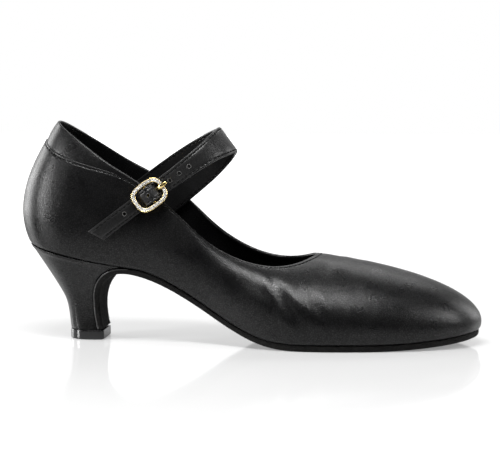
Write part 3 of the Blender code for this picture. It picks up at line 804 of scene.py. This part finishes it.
# %% The frame and its centre bar
# Section of the frame: out from its middle line, and out from the quarter
FRAME_SECTION = (
    (1.1, 3.55), (1.1, 4.2), (1.12, 4.75), (1.05, 5.0), (0.92, 5.06), (0.8, 5.0),
    (0.74, 4.86), (-0.74, 4.86), (-0.8, 5.0), (-0.92, 5.06), (-1.05, 5.0), (-1.12, 4.75),
    (-1.1, 4.2), (-1.1, 3.55), (-0.9, 3.12), (-0.5, 3.0), (0.5, 3.0), (0.9, 3.12),
)
FINE_TURNS = 4000
TURN_OFFSET = 0.0003
even_turn = np.arange(FINE_TURNS) * 2 * math.pi / FINE_TURNS
edge_x, edge_y = cushion(even_turn + TURN_OFFSET, 0)
edge_run = np.concatenate([[0], np.cumsum(np.hypot(np.diff(edge_x), np.diff(edge_y)))])


def turns_of(count, offset=0.0):
    """Turn angles that lie the same distance apart round the frame."""
    where = (np.arange(count) + offset) / count * edge_run[-1]
    return np.interp(where, edge_run, even_turn) + TURN_OFFSET


frame_turn = turns_of(FRAME_POINTS)
frame_rows = [on_buckle(*cushion(frame_turn, grow), height) for grow, height in FRAME_SECTION]
gold_frame = torus_of("buckle_frame_gold", frame_rows)


def smooth_path(points, steps):
    where = np.linspace(0, len(points) - 1, (len(points) - 1) * steps + 1)
    return np.stack([open_spline(axis)(where) for axis in np.transpose(points)], -1)


def rod_rows(path, side, wide, thick, count):
    """Rows of an oval rod along a flat path. side is square to the path's plane."""
    over = np.cross(side, unit(np.gradient(path, axis=0)))
    rows = []
    for turn in np.arange(count) * 2 * math.pi / count:
        rows.append(path + wide[:, None] * math.cos(turn) * side + thick[:, None] * math.sin(turn) * over)
    return np.array(rows)


BAR_SIDES = 12
PATH_STEPS = 4
bar_flat = smooth_path(BAR_PATH, PATH_STEPS)
bar_path = on_buckle(0.0, bar_flat[:, 0], bar_flat[:, 1])
bar_size = np.full(len(bar_path), BAR_RADIUS)
gold_bar = tube_of("buckle_bar_gold", rod_rows(bar_path, buckle_along, bar_size, bar_size, BAR_SIDES))
for piece in (gold_frame, gold_bar):
    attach(piece, "root")
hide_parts("buckle_frame")
print("frame", len(gold_frame.data.polygons), "faces")

# %% The prong
PRONG_WIDE = even_curve((0, 5, 8.6, 9.8, 12, 15), (0.5, 0.5, 0.55, 0.95, 0.95, 0.8))
PRONG_THICK = even_curve((0, 10, 15), (0.5, 0.48, 0.34))
PRONG_SIDES = 16
TIP_FROM = 14.5
TIP_LONG = 0.52
TIP_LEAST = 0.05
prong_flat = smooth_path(PRONG_PATH, PATH_STEPS)
prong_path = on_buckle(prong_flat[:, 0], 0.0, prong_flat[:, 1])
prong_row = np.linspace(0, len(PRONG_PATH) - 1, len(prong_path))
prong_end = np.sqrt(np.clip(1 - (np.maximum(prong_row - TIP_FROM, 0) / TIP_LONG) ** 2, TIP_LEAST, 1))
prong_wide = PRONG_WIDE(prong_row) * prong_end
prong_thick = PRONG_THICK(prong_row) * prong_end
prong_rows = rod_rows(prong_path, buckle_across, prong_wide, prong_thick, PRONG_SIDES)
prong = tube_of("buckle_prong_gold", prong_rows)
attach(prong, "root")
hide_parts("buckle_prong")
print("prong", len(prong.data.polygons), "faces")

# %% [markdown]
# ## Small things that repeat
# Stitches, stones and hole rims are each modelled once. Copies of that one shape are then set down
# along a line, each with its own points, and joined into one mesh, which stays light and exports
# as plain geometry.


# %% Copies of one shape along a line
def template_of(shape):
    """Takes the points and faces of a shape, in its own axes, and removes it."""
    points = np.array([v.co for v in shape.data.vertices])
    faces = [tuple(face.vertices) for face in shape.data.polygons]
    bpy.data.objects.remove(shape, do_unlink=True)
    return points, faces


def copies(name, template, spots, axes):
    """One joined mesh with the shape at each spot, turned to that spot's three directions."""
    points, faces = template
    spots = np.asarray(spots)
    axes = np.asarray(axes)
    everywhere = placed(spots[:, None] + np.einsum("pk,nkj->npj", points, axes))
    count = len(points)
    joined = [tuple(v + k * count for v in face) for k in range(len(spots)) for face in faces]
    data = bpy.data.meshes.new(name)
    data.from_pydata(everywhere.reshape(-1, 3).tolist(), [], joined)
    piece = bpy.data.objects.new(name, data)
    bpy.context.scene.collection.objects.link(piece)
    only(piece)
    bpy.ops.object.shade_smooth()
    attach(piece, "root")
    return piece


def spaced(line, pitch, normals, start=0.5):
    """Spots at an even pitch along a line, with the directions along it and out of the surface."""
    run = np.concatenate([[0], np.cumsum(np.linalg.norm(np.diff(line, axis=0), axis=1))])
    count = int(run[-1] / pitch)
    where = (np.arange(count) + start) * run[-1] / count

    def pick(values):
        return np.stack([np.interp(where, run, values[:, axis]) for axis in range(3)], -1)

    along = unit(pick(np.gradient(line, axis=0)))
    return pick(line), turned(along, pick(normals))


print("copy helpers ready")

# %% Stitches
STITCH_LONG = 1.0
STITCH_THICK = 0.3
STITCH_PITCH = 2.5
STITCH_PROUD = 0.06
STITCH_HIGH = STRAP_THICK / 2 - 0.1
TAIL_STITCHES = 7
SEAM_POINTS = 3200


def stitch_shape():
    """A thread that dips into its holes at both ends."""
    shape = added(bpy.ops.mesh.primitive_uv_sphere_add, segments=8, ring_count=7, radius=1)
    in_edit(
        shape,
        lambda: bpy.ops.transform.rotate(value=math.pi / 2, orient_axis="Y", center_override=(0, 0, 0)),
        lambda: bpy.ops.transform.resize(value=(STITCH_LONG, STITCH_THICK, STITCH_THICK)),
    )
    return template_of(shape)


stitch = stitch_shape()
u_fine = np.linspace(0, ROUND, SEAM_POINTS)
top_line_v = 1 - stitch_depth(u_fine) / wall_height(u_fine)
spots, axes = spaced(skin(u_fine, top_line_v), STITCH_PITCH, wall_normal(u_fine, top_line_v))
top_stitches = copies("topline_stitches", stitch, spots + STITCH_PROUD * axes[:, 2], axes)
strap_spots = []
strap_axes = []
tail_part = np.linspace(-1, 1, TAIL_STITCHES + 2)[1:-1] * (1 - STITCH_IN / strap_half[0])
sewn_rows = [(strap_points[1:2], strap_out[1:2], tail_part)]
for side in (-1, 1):
    sewn_rows.append((strap_points[2:], strap_out[2:], side * (1 - STITCH_IN / strap_half[2:])))
for points, out, part in sewn_rows:
    if len(points) == 1:
        points = np.repeat(points, len(part), 0)
        out = np.repeat(out, len(part), 0)
    row = across_at(points, part)
    away = across_at(out, part)
    for face in (1, -1):
        spots, axes = spaced(row + face * STITCH_HIGH * away, STITCH_PITCH, face * away)
        strap_spots.append(spots)
        strap_axes.append(axes)
strap_stitches = copies("strap_stitches", stitch, np.concatenate(strap_spots), np.concatenate(strap_axes))
print(len(top_stitches.data.polygons) + len(strap_stitches.data.polygons), "stitch faces")

# %% Stones on the buckle
STONE_RADIUS = 0.5
STONE_GIRDLE = 0.2
STONE_CROWN = 0.24
STONE_TABLE = 0.58
STONE_SUNK = 0.06
FACES_UP = 0.9
# Rows of stones: out from the frame's middle line, and the shift along it in stones
STONE_ROWS = ((-0.42, 0.0), (0.42, 0.5))
STONES = 46


def stone_shape():
    """A cut stone: eight sides, a sloped crown and a flat table."""
    shape = added(bpy.ops.mesh.primitive_cylinder_add, vertices=8, radius=STONE_RADIUS, depth=STONE_GIRDLE)
    only(shape)
    bpy.ops.object.mode_set(mode="EDIT")
    mesh = bmesh.from_edit_mesh(shape.data)
    for face in mesh.faces:
        face.select_set(face.normal.z > FACES_UP)
    bmesh.update_edit_mesh(shape.data)
    bpy.ops.mesh.extrude_region_move(TRANSFORM_OT_translate={"value": (0, 0, STONE_CROWN)})
    bpy.ops.transform.resize(value=(STONE_TABLE, STONE_TABLE, 1))
    bpy.ops.object.mode_set(mode="OBJECT")
    return template_of(shape)


stone = stone_shape()
stone_spots = []
stone_axes = []
for grow, offset in STONE_ROWS:
    line = cushion(turns_of(STONES, offset), grow)
    stone_spots.append(on_buckle(*line, FRAME_HIGH - STONE_SUNK))
    stone_axes.append(np.broadcast_to(np.stack([buckle_along, buckle_across, buckle_out]), (STONES, 3, 3)))
stones = copies("buckle_stones", stone, np.concatenate(stone_spots), np.concatenate(stone_axes))
for face in stones.data.polygons:
    face.use_smooth = False
print(len(stones.data.polygons), "stone faces")

# %% Rims of the punched holes
RIM_RADIUS = 1.03
RIM_THICK = 0.13
RIM_HIGH = STRAP_THICK / 2 + STRAP_CROWN - 0.02
rim = template_of(
    added(
        bpy.ops.mesh.primitive_torus_add,
        major_segments=HOLE_SIDES,
        minor_segments=6,
        major_radius=RIM_RADIUS,
        minor_radius=RIM_THICK,
    )
)
rim_spots = []
rim_axes = []
for run in HOLES_ALONG:
    point, out, way = spot_at(run)
    rim_spots.append(point + RIM_HIGH * out)
    rim_axes.append(turned(way, out))
hole_rims = copies("hole_rims", rim, rim_spots, rim_axes)
print(len(HOLES_ALONG), "rims")

# %% [markdown]
# ## Sole, heel and the rest from their solids
# The sole, heel, tip, insole and tab already have the right form. A copy of each solid is merged
# into one skin, its edges are rounded with a bevel, and a subdivision surface takes the facets out.
# The thin tab gets the bevel alone. This keeps every piece where the solid is and gives it edges
# that catch the light. The sock is then pressed against the lining, the heel's cover gets the lip
# where it meets the quarter, and a bead of folded leather lies on each side of the heel breast.


# %% Softened copies of solids
SHARP = math.radians(40)
FLAT = math.radians(25)
SQUARE = math.radians(60)


def quads():
    bpy.ops.mesh.tris_convert_to_quads(face_threshold=FLAT, shape_threshold=SQUARE)


def softened(node, name, edge, segments, levels):
    """A copy of a solid that replaces it: edge is the width of its bevel in millimetres."""
    only(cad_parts[node])
    bpy.ops.object.duplicate()
    piece = bpy.context.object
    piece.name = name
    piece.data.materials.clear()
    in_edit(piece, merge_near, quads)
    bevel = piece.modifiers.new("edge", "BEVEL")
    bevel.width = edge * MM
    bevel.segments = segments
    bevel.limit_method = "ANGLE"
    bevel.angle_limit = SHARP
    if levels:
        smooth = piece.modifiers.new("smooth", "SUBSURF")
        smooth.levels = levels
        smooth.render_levels = levels
    apply_all(piece)
    bpy.ops.object.shade_smooth()
    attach(piece, "root")
    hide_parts(node)
    return piece


heel = softened("heel", "heel_cover", 0.8, 3, 2)
top_lift = softened("top_lift", "heel_tip", 0.35, 2, 2)
outsole = softened("outsole", "suede_sole", 0.5, 2, 2)
insole = softened("insole", "insole_sock", 0.6, 2, 1)
tab = softened("buckle_tab", "buckle_tab_leather", 0.2, 2, 0)
for piece in (heel, top_lift, outsole, insole, tab):
    print(piece.name, len(piece.data.polygons), "faces")


# %% Sock pressed against the lining
SOCK_SPREAD = 0.45
SIDEWAYS = (1.6, 2.0)


def measured(piece):
    """Points of a piece in millimetres from the heel seat, and the directions they face."""
    points = np.empty(3 * len(piece.data.vertices))
    facing = np.empty_like(points)
    piece.data.vertices.foreach_get("co", points)
    piece.data.vertex_normals.foreach_get("vector", facing)
    return points.reshape(-1, 3) / MM - SHIFT, facing.reshape(-1, 3)


def sideways(facing):
    """1 where a surface faces sideways, falling to 0 where it faces up or down."""
    return soft_step(SIDEWAYS[0] - SIDEWAYS[1] * np.abs(facing[:, 2]))


points, facing = measured(insole)
set_points(insole, placed(points + SOCK_SPREAD * sideways(facing)[:, None] * facing))
print("sock spread by", SOCK_SPREAD, "mm")

# %% Lip of the heel cover
LIP_OUT = 0.45
LIP_AT = 1.3
LIP_HIGH = 0.85
LIP_ENDS = (34.0, 52.0)
points, facing = measured(heel)
below = ground(points[:, 0]) - points[:, 2]
lip = LIP_OUT * np.exp(-(((below - LIP_AT) / LIP_HIGH) ** 2)) * sideways(facing)
lip *= 1 - soft_step((points[:, 0] - LIP_ENDS[0]) / (LIP_ENDS[1] - LIP_ENDS[0]))
set_points(heel, placed(points + lip[:, None] * facing))
print("lip stands out", round(float(lip.max()), 2), "mm")

# %% Seam beads beside the heel breast
Breast = namedtuple("Breast", "x z lat med")
BREAST = (
    Breast(37.9, 5.6, 10, 10),
    Breast(36.9, 10, 10, 10),
    Breast(36.2, 15.5, 10.5, 10.5),
    Breast(36.1, 20.5, 11.6, 11.6),
    Breast(36.6, 25.8, 13.8, 13.8),
    Breast(38.6, 30.8, 16.6, 16.6),
    Breast(42.4, 35.2, 19.4, 19.2),
    Breast(48.4, 38.2, 21.4, 20.8),
    Breast(56, 38.85, 22.7, 21.3),
)
BEAD = 0.5
BEAD_ENDS = (1, 0.3)
BEAD_BACK = 0.1
BEAD_IN = 0.3
BEAD_STEPS = 6
BEAD_SIDES = 10
SIDE_WAY = np.array([0.0, 1.0, 0.0])
beads = []
for side, bead_name in ((LATERAL, "breast_bead_lateral"), (MEDIAL, "breast_bead_medial")):
    bead_line = []
    for row in BREAST:
        half = row.lat if side == LATERAL else row.med
        bead_line.append((row.x - BEAD_BACK, side * (half - BEAD_IN), row.z))
    bead_path = smooth_path(bead_line, BEAD_STEPS)
    bead_size = BEAD * np.sqrt(np.linspace(*BEAD_ENDS, len(bead_path)))
    bead = tube_of(bead_name, rod_rows(bead_path, SIDE_WAY, bead_size, bead_size, BEAD_SIDES))
    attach(bead, "root")
    beads.append(bead)
print(len(beads), "beads")

# %% [markdown]
# ## Nap of the suede
# Brushed suede frays at its cut edges. A few thousand short fibres, each a three-sided needle,
# stand on the sides of the sole and of the flap at seeded random places, so the edge of the sole
# looks soft against the light.

# %% Fibres on the edge of the sole
FIBRES = 6500
FIBRE_LONG = (0.3, 0.95)
FIBRE_THIN = 0.045
FIBRE_LEAN = 0.48
EDGE_ONLY = 0.75
FLOOR_CLEAR = 0.1
SEED = 11
rng = np.random.default_rng(SEED)
fibre = added(bpy.ops.mesh.primitive_cone_add, vertices=3, radius1=FIBRE_THIN, radius2=0, depth=1)
in_edit(fibre, lambda: bpy.ops.transform.translate(value=(0, 0, 0.5)))
needle = template_of(fibre)
sole_points, _ = measured(outsole)
outsole.data.calc_loop_triangles()
corners = sole_points[np.array([triangle.vertices for triangle in outsole.data.loop_triangles])]
square = np.cross(corners[:, 1] - corners[:, 0], corners[:, 2] - corners[:, 0])
area = np.linalg.norm(square, axis=1)
edge_area = np.where(np.abs(square[:, 2]) < EDGE_ONLY * area, area, 0)
chosen = rng.choice(len(area), FIBRES, p=edge_area / edge_area.sum())
share = rng.dirichlet((1, 1, 1), FIBRES)
roots = np.einsum("nk,nkj->nj", share, corners[chosen])
lean = unit(square[chosen]) + FIBRE_LEAN * rng.normal(size=(FIBRES, 3))
long = rng.uniform(*FIBRE_LONG, FIBRES)
kept = (roots + long[:, None] * unit(lean))[:, 2] > FLOOR_CLEAR
axes = turned(rng.normal(size=(FIBRES, 3)), lean)
axes[:, 2] *= long[:, None]
nap = copies("suede_nap", needle, roots[kept], axes[kept])
print(int(kept.sum()), "fibres")

# %% [markdown]
# ## Finishes
# Every finish is made of nodes, so it looks the same close up and from any side. Leather grain is
# a field of pebbles about a millimetre across with fine creases between them, read from the
# object's own coordinates. The pebbles shine more than the creases, so the grain shows in the
# lights and goes under in the darks. Gloss varies a little, as on hide that has been handled.


# %% Node helpers
def new_finish(name, colour, rough, **sockets):
    material = bpy.data.materials.new(name)
    material.use_nodes = True
    shader = material.node_tree.nodes["Principled BSDF"]
    shader.inputs["Base Color"].default_value = (*colour, 1)
    shader.inputs["Roughness"].default_value = rough
    for socket, value in sockets.items():
        shader.inputs[socket.replace("_", " ")].default_value = value
    return material, material.node_tree, shader


def add(tree, kind, **settings):
    node = tree.nodes.new(kind)
    for key, value in settings.items():
        if key in node.inputs:
            node.inputs[key].default_value = value
        else:
            setattr(node, key, value)
    return node


def object_noise(tree, scale, detail=3.0):
    where = add(tree, "ShaderNodeTexCoord")
    noise = add(tree, "ShaderNodeTexNoise", Scale=scale, Detail=detail)
    tree.links.new(where.outputs["Object"], noise.inputs["Vector"])
    return noise.outputs["Fac"]


PEBBLE_EDGE = 0.25
PEBBLE_STRAY = 0.6
STRAY_SCALE = 0.6


def object_cells(tree, scale):
    """Soft pebbles: 1 on top of each, falling to 0 in the creases between them."""
    where = add(tree, "ShaderNodeTexCoord")
    stray = add(tree, "ShaderNodeTexNoise", Scale=STRAY_SCALE * scale, Detail=1.0)
    shift = add(tree, "ShaderNodeVectorMath", operation="MULTIPLY_ADD")
    shift.inputs[1].default_value = (PEBBLE_STRAY / scale,) * 3
    cells = add(tree, "ShaderNodeTexVoronoi", feature="DISTANCE_TO_EDGE", Scale=scale)
    tree.links.new(where.outputs["Object"], stray.inputs["Vector"])
    tree.links.new(stray.outputs["Color"], shift.inputs[0])
    tree.links.new(where.outputs["Object"], shift.inputs[2])
    tree.links.new(shift.outputs["Vector"], cells.inputs["Vector"])
    return ranged(tree, cells.outputs["Distance"], 0, 1, 0.0, PEBBLE_EDGE)


def ranged(tree, value, low, high, from_low=0.3, from_high=0.7):
    node = add(tree, "ShaderNodeMapRange")
    node.inputs["From Min"].default_value = from_low
    node.inputs["From Max"].default_value = from_high
    node.inputs["To Min"].default_value = low
    node.inputs["To Max"].default_value = high
    tree.links.new(value, node.inputs["Value"])
    return node.outputs["Result"]


def tinted(tree, shader, value, dark, light, from_low=0.3, from_high=0.7):
    ramp = add(tree, "ShaderNodeValToRGB")
    ramp.color_ramp.elements[0].position = from_low
    ramp.color_ramp.elements[0].color = (*dark, 1)
    ramp.color_ramp.elements[1].position = from_high
    ramp.color_ramp.elements[1].color = (*light, 1)
    tree.links.new(value, ramp.inputs["Fac"])
    tree.links.new(ramp.outputs["Color"], shader.inputs["Base Color"])


def roughened(tree, shader, value, low, high):
    tree.links.new(ranged(tree, value, low, high), shader.inputs["Roughness"])


def bumped(tree, shader, *layers):
    """Adds bump layers, each a height, a strength and a distance in millimetres."""
    normal = None
    for height, strength, distance in layers:
        bump = add(tree, "ShaderNodeBump", Strength=strength, Distance=distance * MM)
        tree.links.new(height, bump.inputs["Height"])
        if normal:
            tree.links.new(normal, bump.inputs["Normal"])
        normal = bump.outputs["Normal"]
    tree.links.new(normal, shader.inputs["Normal"])


def coat(piece, *finishes):
    piece.data.materials.clear()
    for finish in finishes:
        piece.data.materials.append(finish)


print("finish helpers ready")


# %% Leathers
POLISH = (0.6, 1.0)
POLISH_SCALE = 0.8
CREASE_GLOSS = 0.5
PEBBLE_GLOSS = 1.4
ROUGH_SPREAD = (-0.04, 0.06)
FINE_SCALE = 2.2


def leather(name, colour, lighter, rough, grain, grain_deep, shine):
    """Grained leather: shine is the gloss on the pebbles, and the creases between them are duller."""
    finish, tree, shader = new_finish(name, colour, rough)
    tinted(tree, shader, object_noise(tree, 45.0, 5.0), colour, lighter)
    pebbles = object_cells(tree, grain)
    polish = add(tree, "ShaderNodeMath", operation="MULTIPLY")
    tree.links.new(pebbles, polish.inputs[0])
    tree.links.new(ranged(tree, object_noise(tree, POLISH_SCALE * grain, 1.0), *POLISH), polish.inputs[1])
    gloss = ranged(tree, polish.outputs["Value"], CREASE_GLOSS * shine, PEBBLE_GLOSS * shine, 0, 1)
    tree.links.new(gloss, shader.inputs["Specular IOR Level"])
    roughened(tree, shader, object_noise(tree, 90.0), *(rough + extra for extra in ROUGH_SPREAD))
    fine = object_noise(tree, FINE_SCALE * grain, 2.0)
    bumped(tree, shader, (pebbles, 0.6, grain_deep), (fine, 0.25, grain_deep * 0.5))
    return finish


UPPER_BLACK = (0.0022, 0.0022, 0.0024)
UPPER_GREY = (0.0042, 0.0042, 0.0043)
STRAP_BLACK = (0.0065, 0.0065, 0.0067)
STRAP_GREY = (0.0105, 0.0104, 0.0105)
LINING_BLACK = (0.007, 0.0069, 0.0067)
LINING_GREY = (0.011, 0.0108, 0.0105)
Hide = namedtuple("Hide", "rough grain grain_deep shine")
UPPER_HIDE = Hide(0.29, 1020.0, 0.06, 0.29)
STRAP_HIDE = Hide(0.34, 1800.0, 0.02, 0.33)
LINING_HIDE = Hide(0.66, 1200.0, 0.06, 0.17)
upper_leather = leather("upper_leather", UPPER_BLACK, UPPER_GREY, *UPPER_HIDE)
heel_leather = leather("heel_leather", UPPER_BLACK, UPPER_GREY, *UPPER_HIDE)
strap_calf = leather("strap_calf", STRAP_BLACK, STRAP_GREY, *STRAP_HIDE)
lining_leather = leather("lining_leather", LINING_BLACK, LINING_GREY, *LINING_HIDE)
print("leathers ready")


# %% Suede, plastic, metal, stones and thread
def suede():
    finish, tree, shader = new_finish("sole_suede", (0.006, 0.0058, 0.0056), 0.96, Specular_IOR_Level=0.08)
    shader.inputs["Sheen Weight"].default_value = 0.04
    shader.inputs["Sheen Roughness"].default_value = 0.6
    tinted(tree, shader, object_noise(tree, 700.0, 6.0), (0.003, 0.0029, 0.0028), (0.011, 0.0106, 0.0102))
    bumped(tree, shader, (object_noise(tree, 1400.0, 5.0), 0.9, 0.5), (object_noise(tree, 260.0), 0.6, 0.6))
    return finish


def gloss_tip():
    finish, tree, shader = new_finish("gloss_tip", (0.006, 0.006, 0.0065), 0.14, Specular_IOR_Level=0.55)
    roughened(tree, shader, object_noise(tree, 160.0, 4.0), 0.1, 0.24)
    bumped(tree, shader, (object_noise(tree, 300.0, 2.0), 0.12, 0.1))
    return finish


def gold_plate():
    finish, tree, shader = new_finish("gold_plate", (0.86, 0.64, 0.26), 0.18, Metallic=1.0)
    tinted(tree, shader, object_noise(tree, 220.0), (0.8, 0.58, 0.2), (0.92, 0.72, 0.34))
    roughened(tree, shader, object_noise(tree, 500.0), 0.12, 0.28)
    bumped(tree, shader, (object_noise(tree, 600.0), 0.1, 0.05))
    return finish


def clear_stone():
    finish, tree, shader = new_finish("clear_stone", (0.9, 0.9, 0.88), 0.05, Metallic=0.55, Coat_Weight=0.6)
    tinted(tree, shader, object_noise(tree, 900.0, 1.0), (0.55, 0.54, 0.5), (0.98, 0.98, 0.97))
    return finish


def thread():
    finish, tree, shader = new_finish("black_thread", (0.003, 0.003, 0.003), 0.75, Specular_IOR_Level=0.1)
    bumped(tree, shader, (object_noise(tree, 2500.0), 0.5, 0.1))
    tinted(tree, shader, object_noise(tree, 800.0), (0.002, 0.002, 0.002), (0.006, 0.006, 0.006))
    return finish


def edge_paint_and_highlight():
    """Folded and painted edges are smoother than the grain, and their colour, far lighter than the black
    leather, is a painted highlight: the thin line of light that such an edge catches.
    """
    # Base colour about ten times lighter than the leather: a painted highlight along the edges, on top of the
    # real smoother finish.
    finish, tree, shader = new_finish("edge_paint_and_highlight", (0.02, 0.02, 0.02), 0.3, Specular_IOR_Level=0.6)
    tinted(tree, shader, object_noise(tree, 500.0), (0.012, 0.012, 0.012), (0.04, 0.0395, 0.039))
    roughened(tree, shader, object_noise(tree, 700.0), 0.24, 0.4)
    return finish


def hole_rim():
    finish, tree, shader = new_finish("punched_rim", (0.06, 0.0585, 0.057), 0.5)
    tinted(tree, shader, object_noise(tree, 900.0), (0.04, 0.039, 0.038), (0.1, 0.098, 0.096))
    return finish


edge = edge_paint_and_highlight()
coat(upper, upper_leather, lining_leather, edge)
coat(strap, strap_calf, edge)
COATS = (
    (heel_leather, (heel,)),
    (strap_calf, (tab,)),
    (lining_leather, (insole,)),
    # The beads take the lighter edge finish: a painted highlight line beside the heel breast.
    (edge, beads),
    (suede(), (outsole, nap)),
    (gloss_tip(), (top_lift,)),
    (gold_plate(), (gold_frame, gold_bar, prong)),
    (clear_stone(), (stones,)),
    (hole_rim(), (hole_rims,)),
    (thread(), (top_stitches, strap_stitches)),
)
for finish, pieces in COATS:
    for piece in pieces:
        coat(piece, finish)
print(len(bpy.data.materials), "materials")

# %% [markdown]
# ## Stage, light and camera
# The shoe stands on a pale, glossy table that mirrors it faintly. Lamps hang overhead, on both
# sides and behind, and two low ones draw a rim of light on heel and toe. The table glows for the
# camera alone, and away from the shoe it is dark to all else, so the black leather mirrors little
# of it. The camera looks at the outer side from a little in front and a little above, through a
# long lens, so the shoe keeps its proportions.

# %% Table
GLOW = (0.27, 0.95)
GLOW_REACH = (0.15, 1.0)
TABLE_TONE = 0.42
BOUNCE = (0.6, 0.03)
BOUNCE_REACH = (0.12, 0.4)
TABLE_ROUGH = (0.05, 0.08)


def table_finish():
    """Glows for the camera, more so away from the shoe, and sends back less light out there."""
    grey = (TABLE_TONE,) * 3
    finish, tree, shader = new_finish("pale_table", grey, TABLE_ROUGH[0], Specular_IOR_Level=0.25)
    shader.inputs["Emission Color"].default_value = (1, 1, 1, 1)
    place = add(tree, "ShaderNodeTexCoord")
    from_shoe = add(tree, "ShaderNodeVectorMath", operation="LENGTH")
    tree.links.new(place.outputs["Object"], from_shoe.inputs["Vector"])
    seen = add(tree, "ShaderNodeLightPath").outputs["Is Camera Ray"]
    glow = add(tree, "ShaderNodeMath", operation="MULTIPLY")
    tree.links.new(ranged(tree, from_shoe.outputs["Value"], *GLOW, *GLOW_REACH), glow.inputs[0])
    tree.links.new(seen, glow.inputs[1])
    tree.links.new(glow.outputs["Value"], shader.inputs["Emission Strength"])
    tone = add(tree, "ShaderNodeMix", data_type="FLOAT")
    tree.links.new(seen, tone.inputs[0])
    tree.links.new(ranged(tree, from_shoe.outputs["Value"], *BOUNCE, *BOUNCE_REACH), tone.inputs[2])
    tone.inputs[3].default_value = TABLE_TONE
    tree.links.new(tone.outputs[0], shader.inputs["Base Color"])
    roughened(tree, shader, object_noise(tree, 3.0), *TABLE_ROUGH)
    return finish


floor = added(bpy.ops.mesh.primitive_plane_add, size=6)
floor.name = "table"
coat(floor, table_finish())
print("table ready")

# %% World
world = bpy.data.worlds.new("studio")
bpy.context.scene.world = world
world.use_nodes = True
sky = world.node_tree
BEHIND_FROM = (-0.1, 0.6)
FRONT_SKY = ((0.5, 0.02), (0.58, 0.02), (0.74, 0.05), (0.88, 0.2), (1.0, 0.3))
BACK_SKY = ((0.5, 1.0), (0.58, 0.8), (0.74, 0.3), (0.88, 0.3), (1.0, 0.3))
where = add(sky, "ShaderNodeTexCoord")
split = add(sky, "ShaderNodeSeparateXYZ")
sky.links.new(where.outputs["Generated"], split.inputs["Vector"])
height = ranged(sky, split.outputs["Z"], 0, 1, -1, 1)
behind = ranged(sky, split.outputs["Y"], 0, 1, *BEHIND_FROM)


def dome(steps):
    """Light of the studio from the horizon up to overhead."""
    ramp = add(sky, "ShaderNodeValToRGB")
    ramp.color_ramp.interpolation = "B_SPLINE"
    stops = ramp.color_ramp.elements
    for number, (position, level) in enumerate(steps):
        stop = stops[number] if number < 2 else stops.new(position)
        stop.position = position
        stop.color = (level, level, level, 1)
    sky.links.new(height, ramp.inputs["Fac"])
    return ramp.outputs["Color"]


both = add(sky, "ShaderNodeMix", data_type="RGBA")
sky.links.new(behind, both.inputs[0])
sky.links.new(dome(FRONT_SKY), both.inputs[6])
sky.links.new(dome(BACK_SKY), both.inputs[7])
sky.links.new(both.outputs[2], sky.nodes["Background"].inputs["Color"])
seen = add(sky, "ShaderNodeLightPath")
white = add(sky, "ShaderNodeBackground")
mix = add(sky, "ShaderNodeMixShader")
sky.links.new(seen.outputs["Is Camera Ray"], mix.inputs["Fac"])
sky.links.new(sky.nodes["Background"].outputs["Background"], mix.inputs[1])
sky.links.new(white.outputs["Background"], mix.inputs[2])
sky.links.new(mix.outputs["Shader"], sky.nodes["World Output"].inputs["Surface"])
white.inputs["Color"].default_value = (1, 1, 1, 1)
bpy.context.scene.view_settings.view_transform = "Standard"
print("world ready")

# %% Lamps
Lamp = namedtuple("Lamp", "name place aim wide high watts")
LAMPS = (
    Lamp("overhead", (-0.03, -0.3, 0.68), (0.01, 0, 0.04), 0.4, 0.2, 7.0),
    Lamp("left", (-0.75, -0.3, 0.25), (-0.08, 0, 0.06), 0.16, 0.42, 6.0),
    Lamp("right", (0.8, -0.25, 0.4), (0.08, 0, 0.03), 0.2, 0.4, 4.0),
    Lamp("back", (0, 0.7, 0.8), (0, 0, 0.05), 0.9, 0.3, 3.0),
    Lamp("heel_rim", (-0.6, 0.3, 0.22), (-0.1, 0, 0.07), 0.25, 0.5, 2.6),
    Lamp("toe_rim", (0.6, 0.35, 0.25), (0.1, 0, 0.03), 0.25, 0.4, 1.6),
)
for lamp in LAMPS:
    light = bpy.data.lights.new(lamp.name, "AREA")
    light.shape = "RECTANGLE"
    light.size = lamp.wide
    light.size_y = lamp.high
    light.energy = lamp.watts
    holder = bpy.data.objects.new(lamp.name, light)
    holder.location = lamp.place
    holder.rotation_euler = (Vector(lamp.aim) - Vector(lamp.place)).to_track_quat("-Z", "Y").to_euler()
    bpy.context.scene.collection.objects.link(holder)
print(len(LAMPS), "lamps")

# %% Camera
AZIMUTH = math.radians(6.5)
ELEVATION = math.radians(5.5)
AIM = Vector((0.0, 0.0, 0.055))
LENS = 120.0
SHOWN_WIDTH = 0.262
camera_data = bpy.data.cameras.new("camera")
camera_data.lens = LENS
camera_data.sensor_width = 36.0
camera = bpy.data.objects.new("camera", camera_data)
bpy.context.scene.collection.objects.link(camera)
away = Vector(
    (math.sin(AZIMUTH) * math.cos(ELEVATION), -math.cos(AZIMUTH) * math.cos(ELEVATION), math.sin(ELEVATION))
)
camera.location = AIM + away * (SHOWN_WIDTH * LENS / camera_data.sensor_width)
camera.rotation_euler = (-away).to_track_quat("-Z", "Y").to_euler()
bpy.context.scene.camera = camera
print("camera", [round(value, 3) for value in camera.location])
